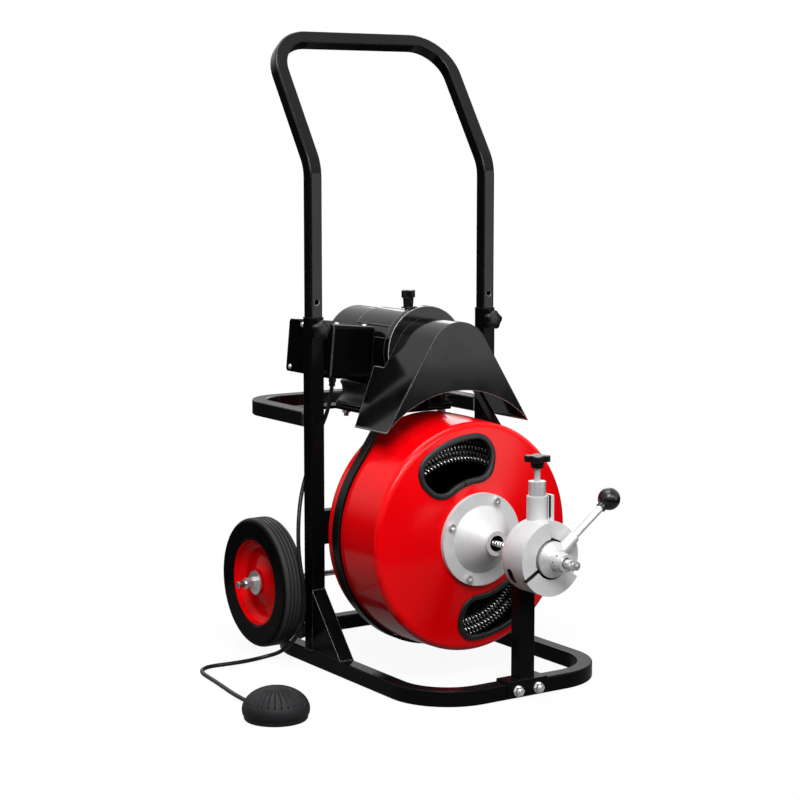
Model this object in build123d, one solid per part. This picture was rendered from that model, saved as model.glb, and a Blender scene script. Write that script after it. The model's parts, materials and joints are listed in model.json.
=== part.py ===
from build123d import *
import math
import os

# Drum type drain cleaning machine on a wheeled tube frame.
# Millimetres, +Z up, floor at z = 0. The cable comes out towards -Y and +X is on the right
# of someone who faces the outlet. Places along the machine are given as a distance forward
# of the two uprights, and forward() turns that distance into a Y value.

# Frame tubes
TUBE = 25.0
TUBE_WALL = 2.0
TUBE_CORNER = 2.6
UPRIGHT_WALL = 1.2
HANDLE_FIT = 0.3
TRACK = 334.0
UPRIGHT_TOP = 561.0
BASE_FRONT = 345.0
BASE_REAR = 188.0
BASE_FRONT_CORNER = 88.0
BASE_REAR_CORNER = 118.0
DRAIN_HOLE = 6.0
GUSSET_TOP = 123.0
GUSSET_FOOT = 97.0
GUSSET_SHEET = 2.0
REAR_BAR_REACH = 230.0
REAR_BAR_Z = 397.5
REAR_BAR_CORNER = 58.0

# Folding handle, which slides in the uprights
HANDLE_BEND_Z = 798.0
HANDLE_TOP_Z = 999.0
HANDLE_REACH = 133.0
HANDLE_WALL = 1.5
HANDLE_BEND = 62.0
HANDLE_CORNER = 66.0
HANDLE_INSERT = 141.0
HANDLE_HOLE_RISE = 24.0
HANDLE_HOLE = 9.0

# Clamp knobs on the front of the uprights
CLAMP_Z = 542.0
CLAMP_BOSS = 18.0
CLAMP_BOSS_LENGTH = 4.0
CLAMP_STUD = 8.0
CLAMP_KNOB = 33.0
CLAMP_KNOB_LENGTH = 11.0
CLAMP_NECK_LENGTH = 3.0

# Wheels and axle
AXLE_BEHIND = 95.0
AXLE_Z = 122.0
AXLE = 11.0
AXLE_STANDS_OUT = 13.2
ARM_TAIL = 16.0
WHEEL_OUTSET = 41.0
TYRE_R = 105.7
TYRE_WIDTH = 40.0
RIM_R = 70.5
RIM_SHEET = 2.5
WEB_DISH = 13.0
WEB_EDGE = 12.0
WEB_TURN = 18.0
HUB_R = 10.0
HUB_LENGTH = 36.0
HUB_OUTSET = 14.0
WASHER_R = 19.5
WASHER_THICK = 2.5
SPACER_R = 9.0
AXLE_NUT = 17.0
AXLE_NUT_THICK = 9.0
TREAD_GROOVES = 4
TREAD_GROOVE = 2.2
TREAD_PITCH = 6.4

# Drum, hub and cable
AXIS_Z = 223.0
DRUM_SHEET = 2.0
DRUM_BACK = 62.0
DRUM_R = 184.0
DRUM_SEAM = 118.0
DRUM_FRONT_R = 181.0
DRUM_RIM = 205.0
DRUM_EDGE = 12.0
DRUM_FACE = 220.0
HUB_FLANGE_R = 73.0
HUB_FLANGE_THICK = 7.0
HUB_CONE_R = 53.0
HUB_NOSE_R = 19.5
HUB_NOSE = 266.0
HUB_WALL = 5.0
HUB_BORE = 25.0
HUB_SCREW_R = 64.0
HUB_SCREW_COUNT = 4
HUB_SCREW_START = 66.0
SCREW_HEAD = 11.0
WINDOW_OUTER_R = 157.0
WINDOW_INNER_R = 96.0
WINDOW_ANGLE = 107.0
WINDOW_SPAN = 58.0
WINDOW_CORNER = 27.0
TRIM_LIP = 8.0
TRIM_GRIP = 1.0
TRIM_PROUD = 3.0
CABLE = 10.0
COIL_INNER_R = 126.0
COIL_LAYERS = 4
COIL_TURNS = 4
COIL_START = 130.0
COIL_DROP = 12.0
LEAD_DROP = 152.0
LEAD_BEND = 60.0
TIP_R = 6.5
TIP_LENGTH = 26.0
NOSE_REACH = 463.0
SHAFT = 15.0
SHAFT_FLANGE_R = 32.0
SHAFT_FLANGE_THICK = 5.0
RUN_FIT = 0.05
PART_GAP = 0.3

# Drum bearing beam and the ball bearings
BEAM_HEIGHT = 54.0
BEAM_DEPTH = 20.0
BEARING_R = 17.5
BEARING_WIDTH = 11.0
HOUSING_WALL = 6.0
HOUSING_FRONT = 34.0
HOUSING_BACK = 14.0

# Motor, pulley and belt
MOTOR_Z = 503.5
MOTOR_R = 56.0
MOTOR_WALL = 5.0
MOTOR_FRONT = 66.0
MOTOR_BACK = 112.0
COVER_SHEET = 2.0
COVER_GAP = 1.5
COVER_BACK = 136.0
COVER_FRONT = 52.0
COVER_SPAN = 140.0
STATOR_LENGTH = 90.0
STATOR_BORE = 32.0
ROTOR_GAP = 0.5
FAN_R = 44.0
FAN_BLADES = 7
FAN_EYE = 14.0
VENT_WIDTH = 7.0
PLATE_Z = 400.0
PLATE_THICK = 5.0
PLATE_FRONT = 30.0
PLATE_BACK = 112.0
PLATE_WIDTH = 156.0
PLATE_STRIP = 34.0
FOOT_SPACING = 84.0
FOOT_WIDTH = 26.0
FOOT_LENGTH = 120.0
FOOT_FLANGE = 6.0
FOOT_TOE = 20.0
BOLT_X = 64.0
BOLT_SPACING = 90.0
BOLT = 8.0
BOLT_HEAD = 13.0
NUT_FLANGE = 1.5
PULLEY_R = 27.0
PULLEY_FLANGE_R = 33.0
BELT_CENTRE = 99.0
BELT_WIDTH = 18.0
BELT_THICK = 5.0
PULLEY_FLANGE = 3.0

# Belt guard
GUARD_SHEET = 2.0
GUARD_FRONT = 164.0
GUARD_COLLAR = 72.0
GUARD_CROWN_R = 59.0
GUARD_CROWN_DROP = 5.2
GUARD_TIP_X = 137.0
GUARD_TIP_Z = 391.0
GUARD_SKIRT_TOP = 482.0
GUARD_SKIRT_BACK = 42.0
GUARD_TAIL_BACK = 76.0
GUARD_TAIL_Z = 384.0
GUARD_ARCH_R = 190.0
GUARD_ARCH_RISE = 36.5
GUARD_EDGE = 1.6
COLLAR_R = 72.5
COLLAR_LIP = 12.0
TONGUE_BACK = 60.0
TONGUE_SPAN = 100.0
GUARD_KNOB_AT = 20.0
GUARD_NUT = 3.5
GUARD_KNOB = 25.0
GUARD_KNOB_LENGTH = 12.0
GUARD_NECK_LENGTH = 17.0
GUARD_STUD = 6.0

# Control box
BOX_TO_UPRIGHT = 16.5
BOX_TO_MOTOR = 2.5
BOX_LENGTH = 138.0
BOX_HEIGHT = 86.0
BOX_AT = -58.0
BOX_DROP = 2.0
BOX_TILT = 5.5
BOX_WALL = 2.0
BOX_CORNER = 6.0
BOX_SCREW = 9.0
BOX_POST = 11.0
LID_LOW_INSET = 13.0
LID_HIGH_INSET = 42.0
PAD_SINK = 10.5
PAD_WIDTH = 60.0
PAD_HEIGHT = 28.0
GLAND_R = 6.0
GLAND_LENGTH = 14.0
GLAND_AT_X = -18.0
GLAND_FROM_FRONT = 27.0
INLET_R = 9.0
INLET_X = -16.0
ROCKER_WIDTH = 14.0
ROCKER_HEIGHT = 24.0
ROCKER_THICK = 9.0
ROCKER_TILT = 10.0
ROCKER_HUB_R = 6.5
ROCKER_FIT = 0.6
ROCKER_X = 16.0

# Front post and feed head
POST_TOP = 203.0
POST_WIDTH = 30.0
POST_DEPTH = 22.0
SADDLE_WIDTH = 74.0
SADDLE_SHEET = 3.0
SADDLE_BOLT_SPACING = 38.0
HEAD_R = 56.0
HEAD_BACK = 345.0
HEAD_FRONT = 405.0
HEAD_EDGE = 14.0
HEAD_BACK_WALL = 8.0
HEAD_FRONT_WALL = 17.0
HEAD_CAVITY_R = 44.0
HEAD_SLOT = 6.0
HEAD_SLOTS = 3
HEAD_RECESS = 10.0
HEAD_COUNTERBORE_R = 30.5
HEAD_COUNTERBORE = 11.0
HEAD_CABLE_R = 10.0
BOSS_AT = 366.0
BOSS_R = 15.5
BOSS_TOP = 313.0
LUG_WIDTH = 12.0
LUG_DEPTH = 18.0
LUG_SLIT = 4.0
SIDE_WINDOW_LENGTH = 26.0
SIDE_WINDOW_WIDTH = 12.0
SIDE_WINDOW_ANGLE = 208.0
NOSE_TUBE_R = 11.5
NOSE_BORE_R = 7.5
NOSE_BOSS_R = 14.5
NOSE_BOSS_FRONT = 432.0
NOSE_RIM_R = 13.2
NOSE_RIM_FRONT = 440.0
NOSE_FLARE = 2.0
NOSE_FLARE_DEPTH = 3.0
SET_SCREW = 4.0

# Feed lever
LEVER_HUB_R = 27.3
LEVER_HUB_FRONT = 416.0
LEVER_HUB_EDGE = 409.0
LEVER_HUB_BOSS_R = 15.5
LEVER_HUB_GAP = 1.0
LEVER_ANGLE = 37.2
LEVER_AT = 405.5
LEVER_ROOT = 18.0
LEVER_ROOT_END = 52.0
LEVER_ROD = 11.0
LEVER_BALL = 34.0
LEVER_BALL_AT = 133.0
LEVER_NECK = 15.0

# Pressure plunger and feed rollers
PLUNGER_R = 13.0
PLUNGER_TOP = 335.0
ROLLER_R = 11.0
ROLLER_NIP = 0.5
ROLLER_LIFT = 3.0
ROLLER_LENGTH = 30.0
TOP_ROLLER_LENGTH = 13.0
YOKE_GAP = 0.3
PIN_R = 3.5
SCREW_R = 4.8
SCREW_SOCKET = 12.0
SCREW_IN_KNOB = 12.0
YOKE_TOP = 278.0
KNOB_R = 19.5
KNOB_BOTTOM = 355.0
KNOB_LENGTH = 9.5
KNOB_NECK = 9.5
KNOB_ARMS = 4
KNOB_TURN = 55.0

# Foot pedal and its air hose
PEDAL_X = -376.0
PEDAL_AT = 236.0
PEDAL_R = 50.0
PEDAL_RIM = 12.0
PEDAL_FLOOR = 2.0
PEDAL_WALL = 2.5
PEDAL_TOP = 46.0
PEDAL_TRAVEL = 8.0
PEDAL_DOME_WALL = 4.0
PEDAL_FIT = 0.4
SPOUT_R = 4.6
SPOUT_LENGTH = 12.0
SPOUT_Z = 5.2
HOSE = 6.6
HOSE_FIT = 0.15
HOSE_START = 38.0
HOSE_END = 58.0
# Bends of the hose as x, distance forward and height
HOSE_BENDS = [
    (-146.0, -26.0, 364.0),
    (-170.0, -27.0, 322.0),
    (-188.0, -17.0, 274.0),
    (-194.0, -6.0, 228.0),
    (-199.0, 4.0, 180.0),
    (-197.0, 18.0, 128.0),
    (-194.0, 13.0, 80.0),
    (-197.0, -10.0, 42.0),
    (-204.0, -44.0, 14.0),
    (-228.0, -66.0, 3.4),
    (-268.0, -57.0, 3.4),
    (-308.0, -56.0, 3.4),
    (-346.0, -65.0, 3.4),
    (-353.0, -22.0, 3.4),
    (-362.0, 40.0, 3.4),
]

# Values that follow from the sizes above
UPRIGHT_Y = (NOSE_REACH - REAR_BAR_REACH) / 2
HANDLE_TUBE = TUBE - 2 * (UPRIGHT_WALL + HANDLE_FIT)
UPRIGHT_X = TRACK / 2
OUTER_X = UPRIGHT_X + TUBE / 2
INNER_X = UPRIGHT_X - TUBE / 2
HALF = TUBE / 2
COVER_INNER_R = MOTOR_R + COVER_GAP
COVER_R = COVER_INNER_R + COVER_SHEET
BOX_WIDTH = INNER_X - BOX_TO_UPRIGHT - COVER_R - BOX_TO_MOTOR
BOX_X = BOX_TO_UPRIGHT + BOX_WIDTH / 2 - INNER_X
BOX_Z = MOTOR_Z - BOX_DROP
PAD_LENGTH = BOX_TO_MOTOR + PAD_SINK
LEFT_RIGHT = (("left", -1), ("right", 1))
STANDING = (Align.CENTER, Align.CENTER, Align.MIN)
HANGING = (Align.CENTER, Align.CENTER, Align.MAX)


def forward(distance):
    """The Y of a place this far in front of the uprights."""
    return UPRIGHT_Y - distance


def facing_plane(distance, z):
    """A plane that faces the front of the machine, with local x to the right and y up."""
    return Plane(origin=(0, forward(distance), z), x_dir=(1, 0, 0), z_dir=(0, -1, 0))


def turned(profile, z):
    """Revolve a face drawn as (radius, distance forward) about a fore and aft axis."""
    plane = Plane(origin=(0, UPRIGHT_Y, z), x_dir=(1, 0, 0), z_dir=(0, 0, -1))
    return revolve(plane * profile, axis=Axis((0, UPRIGHT_Y, z), (0, 1, 0)))


def ring(inner, outer, start, end, z):
    """A plain ring about a fore and aft axis, from start to end forward."""
    face = Circle(outer) - Circle(inner) if inner > 0 else Circle(outer)
    return extrude(facing_plane(start, z) * face, end - start)


def outline(*points):
    """A face with straight sides through the given points."""
    return make_face(Polyline(*points, close=True))


def sheet_face(points, radii, thickness, side=Side.LEFT):
    """A bent strip of sheet, seen on edge."""
    line = FilletPolyline(*points, radius=radii)
    return make_face(offset(line, thickness, side=side))


def tube_section(width, depth, wall):
    """The section of a tube with its outer corners rounded as drawn tube has them."""
    return RectangleRounded(width, depth, TUBE_CORNER) - Rectangle(width - 2 * wall, depth - 2 * wall)


def square_tube(points, radii, size, wall, x_dir, closed=False):
    """A hollow square tube bent along a path of straight runs and arcs."""
    path = FilletPolyline(*points, radius=radii, close=closed)
    start = Plane(origin=path @ 0, x_dir=x_dir, z_dir=path % 0)
    return sweep(start * tube_section(size, size, wall), path=path)


def hexagon_nut(across, thick):
    """A hexagon along +Z, standing on the XY plane."""
    return extrude(RegularPolygon(across / 2, 6, major_radius=False), thick)


def star_face(radius, lobes):
    """The outline of a lobed knob."""
    lobe = radius * 0.32
    face = Circle(radius * 0.62)
    for place in PolarLocations(radius - lobe, lobes):
        face += place * Circle(lobe)
    return face


def star_knob(radius, length, neck_length, neck_r, stud_r, stud_length, lobes=5):
    """A moulded knob on its stud along +Z, with the end of the neck at the origin."""
    head = Pos(0, 0, neck_length) * extrude(star_face(radius, lobes), length)
    rim = head.edges().filter_by(Plane.XY).group_by(Axis.Z)[-1]
    head = fillet(rim, radius * 0.08)
    neck = Cone(neck_r, neck_r * 1.12, neck_length, align=STANDING)
    stud = Cylinder(stud_r, stud_length, align=HANGING)
    return head + neck + stud if stud_length > 0 else head + neck


def base_loop():
    """The closed floor loop of bent square tube."""
    front = forward(BASE_FRONT - HALF)
    back = forward(HALF - BASE_REAR)
    corners = [
        (-UPRIGHT_X, front, HALF),
        (UPRIGHT_X, front, HALF),
        (UPRIGHT_X, back, HALF),
        (-UPRIGHT_X, back, HALF),
    ]
    radii = [BASE_FRONT_CORNER, BASE_FRONT_CORNER, BASE_REAR_CORNER, BASE_REAR_CORNER]
    loop = square_tube(corners, radii, TUBE, TUBE_WALL, (0, 0, 1), closed=True)
    for x in (-SADDLE_BOLT_SPACING / 2, SADDLE_BOLT_SPACING / 2):
        hole = Cylinder(BOLT / 2 + PART_GAP, 2 * TUBE, rotation=(90, 0, 0))
        loop -= Pos(x, front, HALF) * hole
    for side in (-1, 1):
        loop -= Pos(side * UPRIGHT_X, UPRIGHT_Y, 0) * Cylinder(DRAIN_HOLE / 2, TUBE)
    return loop


def axle_arm(side):
    """The short tube on the back of an upright that carries the axle."""
    length = AXLE_BEHIND + ARM_TAIL - HALF
    plane = Plane(origin=(side * UPRIGHT_X, forward(-HALF), AXLE_Z), z_dir=(0, 1, 0))
    arm = extrude(plane * tube_section(TUBE, TUBE, TUBE_WALL), length)
    bore = Cylinder(AXLE / 2 + RUN_FIT, 2 * TUBE, rotation=(0, 90, 0))
    return arm - Pos(side * UPRIGHT_X, forward(-AXLE_BEHIND), AXLE_Z) * bore


def upright(side):
    """One lower post of the frame: a sleeve for the handle, with its axle arm welded on."""
    height = UPRIGHT_TOP - TUBE
    sleeve = extrude(tube_section(TUBE, TUBE, UPRIGHT_WALL), height)
    post = Pos(side * UPRIGHT_X, UPRIGHT_Y, TUBE) * sleeve
    place = facing_plane(HALF, CLAMP_Z) * Pos(side * UPRIGHT_X, 0, 0)
    post += place * Cylinder(
        CLAMP_BOSS / 2, CLAMP_BOSS_LENGTH, align=STANDING
    )
    post -= place * Cylinder(CLAMP_STUD / 2 + RUN_FIT, 4 * CLAMP_BOSS_LENGTH)
    return post + axle_arm(side)


def gusset(side):
    """A folded brace between an upright and the floor loop, open at its back and foot."""

    def wedge(width, inset):
        slope = math.atan2(GUSSET_TOP - TUBE, GUSSET_FOOT - HALF)
        shift = inset / math.sin(slope)
        face = outline(
            (forward(HALF), TUBE),
            (forward(GUSSET_FOOT - shift), TUBE),
            (forward(HALF), TUBE + (GUSSET_FOOT - shift - HALF) * math.tan(slope)),
        )
        return extrude(Plane.YZ * face, width / 2, both=True)

    brace = wedge(TUBE, 0) - wedge(TUBE - 2 * GUSSET_SHEET, GUSSET_SHEET)
    return Pos(side * UPRIGHT_X, 0, 0) * brace


def rear_bar():
    """The bent bar behind the uprights that the machine lies on when it is tipped back."""
    near = forward(-HALF)
    far = forward(HALF - REAR_BAR_REACH)
    points = [
        (-UPRIGHT_X, near, REAR_BAR_Z),
        (-UPRIGHT_X, far, REAR_BAR_Z),
        (UPRIGHT_X, far, REAR_BAR_Z),
        (UPRIGHT_X, near, REAR_BAR_Z),
    ]
    return square_tube(points, REAR_BAR_CORNER, TUBE, TUBE_WALL, (0, 0, 1))


def on_axle(piece, x, side):
    """Lay a piece made along +Z on the axle, starting at x and pointing outward."""
    plane = Plane(origin=(side * x, forward(-AXLE_BEHIND), AXLE_Z), z_dir=(side, 0, 0))
    return plane * piece


WHEEL_X = UPRIGHT_X + WHEEL_OUTSET
HUB_OUT = WHEEL_X + HUB_OUTSET
HUB_IN = HUB_OUT - HUB_LENGTH
WASHER_X = HUB_OUT + PART_GAP
NUT_X = WASHER_X + WASHER_THICK
AXLE_END = NUT_X + 2 * AXLE_NUT_THICK + AXLE_STANDS_OUT


def axle():
    """The fixed axle rod through both arms."""
    rod = Cylinder(AXLE / 2, 2 * AXLE_END, rotation=(0, 90, 0))
    rod = chamfer(rod.edges().filter_by(GeomType.CIRCLE), AXLE * 0.1)
    return Pos(0, forward(-AXLE_BEHIND), AXLE_Z) * rod


def axle_washers():
    """A wide washer outside each wheel and a spacer between each wheel and its arm."""
    pieces = []
    for side in (-1, 1):
        hole = Circle(AXLE / 2 + RUN_FIT)
        pieces.append(on_axle(extrude(Circle(WASHER_R) - hole, WASHER_THICK), WASHER_X, side))
        length = HUB_IN - OUTER_X - PART_GAP
        pieces.append(on_axle(extrude(Circle(SPACER_R) - hole, length), OUTER_X, side))
    return Compound(children=pieces)


def axle_nuts():
    """Two nuts locked against each other on each end of the axle."""
    pieces = []
    for side in (-1, 1):
        for place in (0, 1):
            nut = hexagon_nut(AXLE_NUT, AXLE_NUT_THICK - PART_GAP)
            nut -= Cylinder(AXLE / 2 + RUN_FIT, 4 * AXLE_NUT_THICK)
            pieces.append(on_axle(nut, NUT_X + place * AXLE_NUT_THICK, side))
    return Compound(children=pieces)


def wheel_solid(profile, side):
    """Revolve a face drawn as (radius, distance outward) about the axle."""
    centre = (side * WHEEL_X, forward(-AXLE_BEHIND), AXLE_Z)
    plane = Plane(origin=centre, x_dir=(0, 1, 0), z_dir=(0, 0, -side))
    return revolve(plane * profile, axis=Axis(centre, (1, 0, 0)))


def tyre(side):
    half = TYRE_WIDTH / 2
    face = outline((RIM_R, -half), (RIM_R, half), (TYRE_R, half), (TYRE_R, -half))
    shoulders = face.vertices().group_by(Axis.X)[-1]
    face = fillet(shoulders, half * 0.42)
    beads = face.vertices().group_by(Axis.X)[0]
    face = chamfer(beads, half * 0.12)
    for place in GridLocations(0, TREAD_PITCH, 1, TREAD_GROOVES):
        face -= Pos(TYRE_R, 0) * place * Rectangle(2 * TREAD_GROOVE, TREAD_GROOVE)
    return wheel_solid(face, side)


def rim(side):
    """A pressed steel rim with a dished web and a hub tube."""
    half = TYRE_WIDTH / 2
    lip = half * 0.82
    bore = AXLE / 2 + RUN_FIT
    barrel = outline(
        (RIM_R - RIM_SHEET, -lip), (RIM_R, -lip), (RIM_R, lip), (RIM_R - RIM_SHEET, lip)
    )
    hub_end = HUB_OUTSET
    hub_start = hub_end - HUB_LENGTH
    hub = outline((bore, hub_start), (HUB_R, hub_start), (HUB_R, hub_end), (bore, hub_end))
    web_points = [
        (HUB_R - 0.4 * RIM_SHEET, hub_end - 1.6 * RIM_SHEET),
        (HUB_R + WEB_EDGE, hub_end - 1.6 * RIM_SHEET),
        (RIM_R * 0.62, hub_end - WEB_DISH),
        (RIM_R - WEB_EDGE, lip - WEB_TURN),
        (RIM_R - RIM_SHEET * 0.8, lip - WEB_TURN / 2),
    ]
    bends = [WEB_EDGE / 2, WEB_EDGE, WEB_EDGE * 0.8]
    web = sheet_face(web_points, bends, RIM_SHEET, Side.RIGHT)
    return wheel_solid(barrel + hub + web, side)


def handle():
    """The bent upper handle, whose two legs slide in the uprights."""
    foot = UPRIGHT_TOP - HANDLE_INSERT
    top = forward(-HANDLE_REACH)
    points = [
        (-UPRIGHT_X, UPRIGHT_Y, foot),
        (-UPRIGHT_X, UPRIGHT_Y, HANDLE_BEND_Z),
        (-UPRIGHT_X, top, HANDLE_TOP_Z),
        (UPRIGHT_X, top, HANDLE_TOP_Z),
        (UPRIGHT_X, UPRIGHT_Y, HANDLE_BEND_Z),
        (UPRIGHT_X, UPRIGHT_Y, foot),
    ]
    radii = [HANDLE_BEND, HANDLE_CORNER, HANDLE_CORNER, HANDLE_BEND]
    tube = square_tube(points, radii, HANDLE_TUBE, HANDLE_WALL, (1, 0, 0))
    for side in (-1, 1):
        place = facing_plane(HALF, UPRIGHT_TOP + HANDLE_HOLE_RISE) * Pos(side * UPRIGHT_X, 0, 0)
        tube -= place * Cylinder(HANDLE_HOLE / 2, TUBE)
    return tube


def clamp_knob(side):
    """A star knob whose stud bears on the handle leg inside the upright."""
    stud = CLAMP_BOSS_LENGTH + UPRIGHT_WALL
    knob = star_knob(
        CLAMP_KNOB / 2, CLAMP_KNOB_LENGTH, CLAMP_NECK_LENGTH, CLAMP_BOSS * 0.42, CLAMP_STUD / 2, stud
    )
    seat = facing_plane(HALF + CLAMP_BOSS_LENGTH + PART_GAP, CLAMP_Z)
    return seat * Pos(side * UPRIGHT_X, 0, 0) * knob


def bearing_beam():
    """The cross tube between the uprights, with the drum's bearing housing welded through it."""
    section = Rectangle(BEAM_DEPTH, BEAM_HEIGHT)
    section -= Rectangle(BEAM_DEPTH - 2 * TUBE_WALL, BEAM_HEIGHT - 2 * TUBE_WALL)
    beam = Pos(0, UPRIGHT_Y, AXIS_Z) * extrude(Plane.YZ * section, INNER_X, both=True)
    outer_r = BEARING_R + HOUSING_WALL
    beam += ring(0, outer_r, -HOUSING_BACK, HOUSING_FRONT, AXIS_Z)
    return beam - ring(0, BEARING_R, -HOUSING_BACK, HOUSING_FRONT, AXIS_Z)


DRUM_BEARINGS = (HOUSING_FRONT - BEARING_WIDTH, -HOUSING_BACK)
MOTOR_BEARINGS = (MOTOR_FRONT - MOTOR_WALL - BEARING_WIDTH, MOTOR_WALL - MOTOR_BACK)


def ball_bearings():
    """Four sealed bearings of one size: two for the drum shaft and two for the motor shaft."""
    bore = SHAFT / 2 + RUN_FIT
    pieces = [ring(bore, BEARING_R, at, at + BEARING_WIDTH, AXIS_Z) for at in DRUM_BEARINGS]
    pieces += [ring(bore, BEARING_R, at, at + BEARING_WIDTH, MOTOR_Z) for at in MOTOR_BEARINGS]
    return Compound(children=pieces)


def drum_shaft():
    """The stub shaft and flange that the drum's back is bolted to."""
    back = DRUM_BACK - SHAFT_FLANGE_THICK
    shaft = ring(0, SHAFT / 2, -HOUSING_BACK, DRUM_BACK, AXIS_Z)
    return shaft + ring(0, SHAFT_FLANGE_R, back, DRUM_BACK, AXIS_Z)


def drum_rear_shell():
    """The back pan of the drum, with the plain band that the belt runs on."""
    points = [(SHAFT / 2, DRUM_BACK), (DRUM_R, DRUM_BACK), (DRUM_R, DRUM_SEAM)]
    return turned(sheet_face(points, [DRUM_EDGE], DRUM_SHEET), AXIS_Z)


FACE_LINE = (
    (DRUM_R, DRUM_SEAM),
    (DRUM_FRONT_R, DRUM_RIM),
    (HUB_FLANGE_R, DRUM_FACE),
    (HUB_BORE / 2, DRUM_FACE),
)


def front_pan(inward, outward=0.0):
    """The front pan of the drum without windows, this thick inside and outside its face line."""
    line = FilletPolyline(*FACE_LINE, radius=[DRUM_EDGE, HUB_FLANGE_R])
    pan = turned(make_face(offset(line, inward, side=Side.LEFT)), AXIS_Z)
    if outward > 0:
        pan += turned(make_face(offset(line, outward, side=Side.RIGHT)), AXIS_Z)
    return pan - ring(0, 2 * DRUM_R, 0, DRUM_SEAM, AXIS_Z)


def window_face(grow):
    """The kidney outline of a drum window, grown or shrunk by an even margin."""
    outer = WINDOW_OUTER_R + grow
    inner = WINDOW_INNER_R - grow
    half = math.radians(WINDOW_SPAN / 2) + 2 * grow / (outer + inner)
    reach = outer / math.cos(half) * 1.1
    wedge = outline(
        (0, 0),
        (reach * math.cos(half), -reach * math.sin(half)),
        (reach, 0),
        (reach * math.cos(half), reach * math.sin(half)),
    )
    face = (Circle(outer) - Circle(inner)) & wedge
    return fillet(face.vertices(), WINDOW_CORNER + grow)


def window_prisms(grow):
    """Both windows as prisms that run through the drum's front."""
    faces = [Rot(0, 0, WINDOW_ANGLE + turn) * window_face(grow) for turn in (0, 180)]
    plane = facing_plane(DRUM_SEAM, AXIS_Z)
    return [extrude(plane * face, HUB_NOSE - DRUM_SEAM) for face in faces]


def drum_front_shell():
    """The front pan of the drum, with two windows that show the cable."""
    pan = front_pan(DRUM_SHEET)
    for prism in window_prisms(0):
        pan -= prism
    return pan


def window_trims():
    """A rubber edging round each window that grips the sheet on both faces."""
    band = front_pan(DRUM_SHEET + TRIM_PROUD, TRIM_PROUD)
    shell = drum_front_shell()
    pieces = []
    for outer, inner in zip(window_prisms(TRIM_LIP), window_prisms(-TRIM_GRIP)):
        pieces.append(((outer - inner) & band) - shell)
    return Compound(children=pieces)


HUB_FACE = DRUM_FACE + HUB_FLANGE_THICK


def hub_cone():
    """The cast cone on the drum's front that leads the cable out on the axis."""
    bore = HUB_BORE / 2
    face = outline(
        (HUB_CONE_R - HUB_WALL, DRUM_FACE),
        (HUB_FLANGE_R, DRUM_FACE),
        (HUB_FLANGE_R, HUB_FACE),
        (HUB_CONE_R, HUB_FACE),
        (HUB_NOSE_R, HUB_NOSE - HUB_WALL),
        (HUB_NOSE_R, HUB_NOSE),
        (bore, HUB_NOSE),
        (bore, HUB_NOSE - 2 * HUB_WALL),
    )
    cone = turned(face, AXIS_Z)
    plane = facing_plane(DRUM_FACE, AXIS_Z)
    for place in PolarLocations(HUB_SCREW_R, HUB_SCREW_COUNT, start_angle=HUB_SCREW_START):
        cone -= plane * place * Cylinder(SCREW_HEAD * 0.25, 4 * HUB_FLANGE_THICK)
    return cone


def socket_screw(head, thick, shank, length):
    """A cap screw along +Z with its head standing on the XY plane and a hexagon socket."""
    top = Cylinder(head / 2, thick, align=STANDING)
    top -= Pos(0, 0, thick / 2) * hexagon_nut(head / 2, thick)
    return top + Cylinder(shank / 2, length, align=HANGING)


def hub_screws():
    """The four screws that hold the hub cone on the drum."""
    plane = facing_plane(HUB_FACE, AXIS_Z)
    shank = SCREW_HEAD * 0.5 - 2 * RUN_FIT
    screw = socket_screw(SCREW_HEAD, SCREW_HEAD / 2, shank, HUB_FLANGE_THICK)
    places = PolarLocations(HUB_SCREW_R, HUB_SCREW_COUNT, start_angle=HUB_SCREW_START)
    return Compound(children=[plane * place * screw for place in places])


def cable_coil():
    """The stored turns of cable, as one bundle that has sagged against the foot of the drum."""
    width = COIL_TURNS * CABLE
    depth = COIL_LAYERS * CABLE
    face = RectangleRounded(depth, width, CABLE * 0.49)
    return turned(Pos(COIL_INNER_R + depth / 2, COIL_START + width / 2) * face, AXIS_Z - COIL_DROP)


def cable_lead():
    """The cable from the inside of the bundle to the axis and out through the feed head."""
    reach = math.sqrt(COIL_INNER_R**2 - (COIL_DROP + CABLE / 2) ** 2) - RUN_FIT
    points = [
        (reach, forward(LEAD_DROP), AXIS_Z),
        (0, forward(LEAD_DROP), AXIS_Z),
        (0, forward(NOSE_REACH - TIP_LENGTH), AXIS_Z),
    ]
    path = FilletPolyline(*points, radius=LEAD_BEND)
    section = Plane(origin=path @ 0, z_dir=path % 0) * Circle(CABLE / 2)
    return sweep(section, path=path)


def cable_tip():
    """The coupling on the end of the cable, with a T shaped slot for the cutters."""
    start = NOSE_REACH - TIP_LENGTH
    tip = ring(0, TIP_R, start, NOSE_REACH, AXIS_Z)
    slot = TIP_R * 0.8
    tip -= Pos(0, forward(NOSE_REACH - slot), AXIS_Z + TIP_R) * Box(slot, 2 * slot, 2 * TIP_R)
    wide = Box(3 * TIP_R, slot, 2 * TIP_R)
    return tip - Pos(0, forward(NOSE_REACH - 1.6 * slot), AXIS_Z + TIP_R) * wide


def motor_plate():
    """The shelf that the motor stands on, with a cross strip at its back between the bar's sides."""
    length = PLATE_FRONT + PLATE_BACK
    from_back = (Align.CENTER, Align.MAX, Align.MIN)
    plate = Box(PLATE_WIDTH, length, PLATE_THICK, align=from_back)
    plate += Box(2 * INNER_X, PLATE_STRIP, PLATE_THICK, align=from_back)
    plate = Pos(0, forward(-PLATE_BACK), PLATE_Z) * plate
    for x, at in motor_bolt_places():
        plate -= Pos(x, forward(at), PLATE_Z) * Cylinder(BOLT / 2 + PART_GAP, 4 * PLATE_THICK)
    return plate


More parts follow.
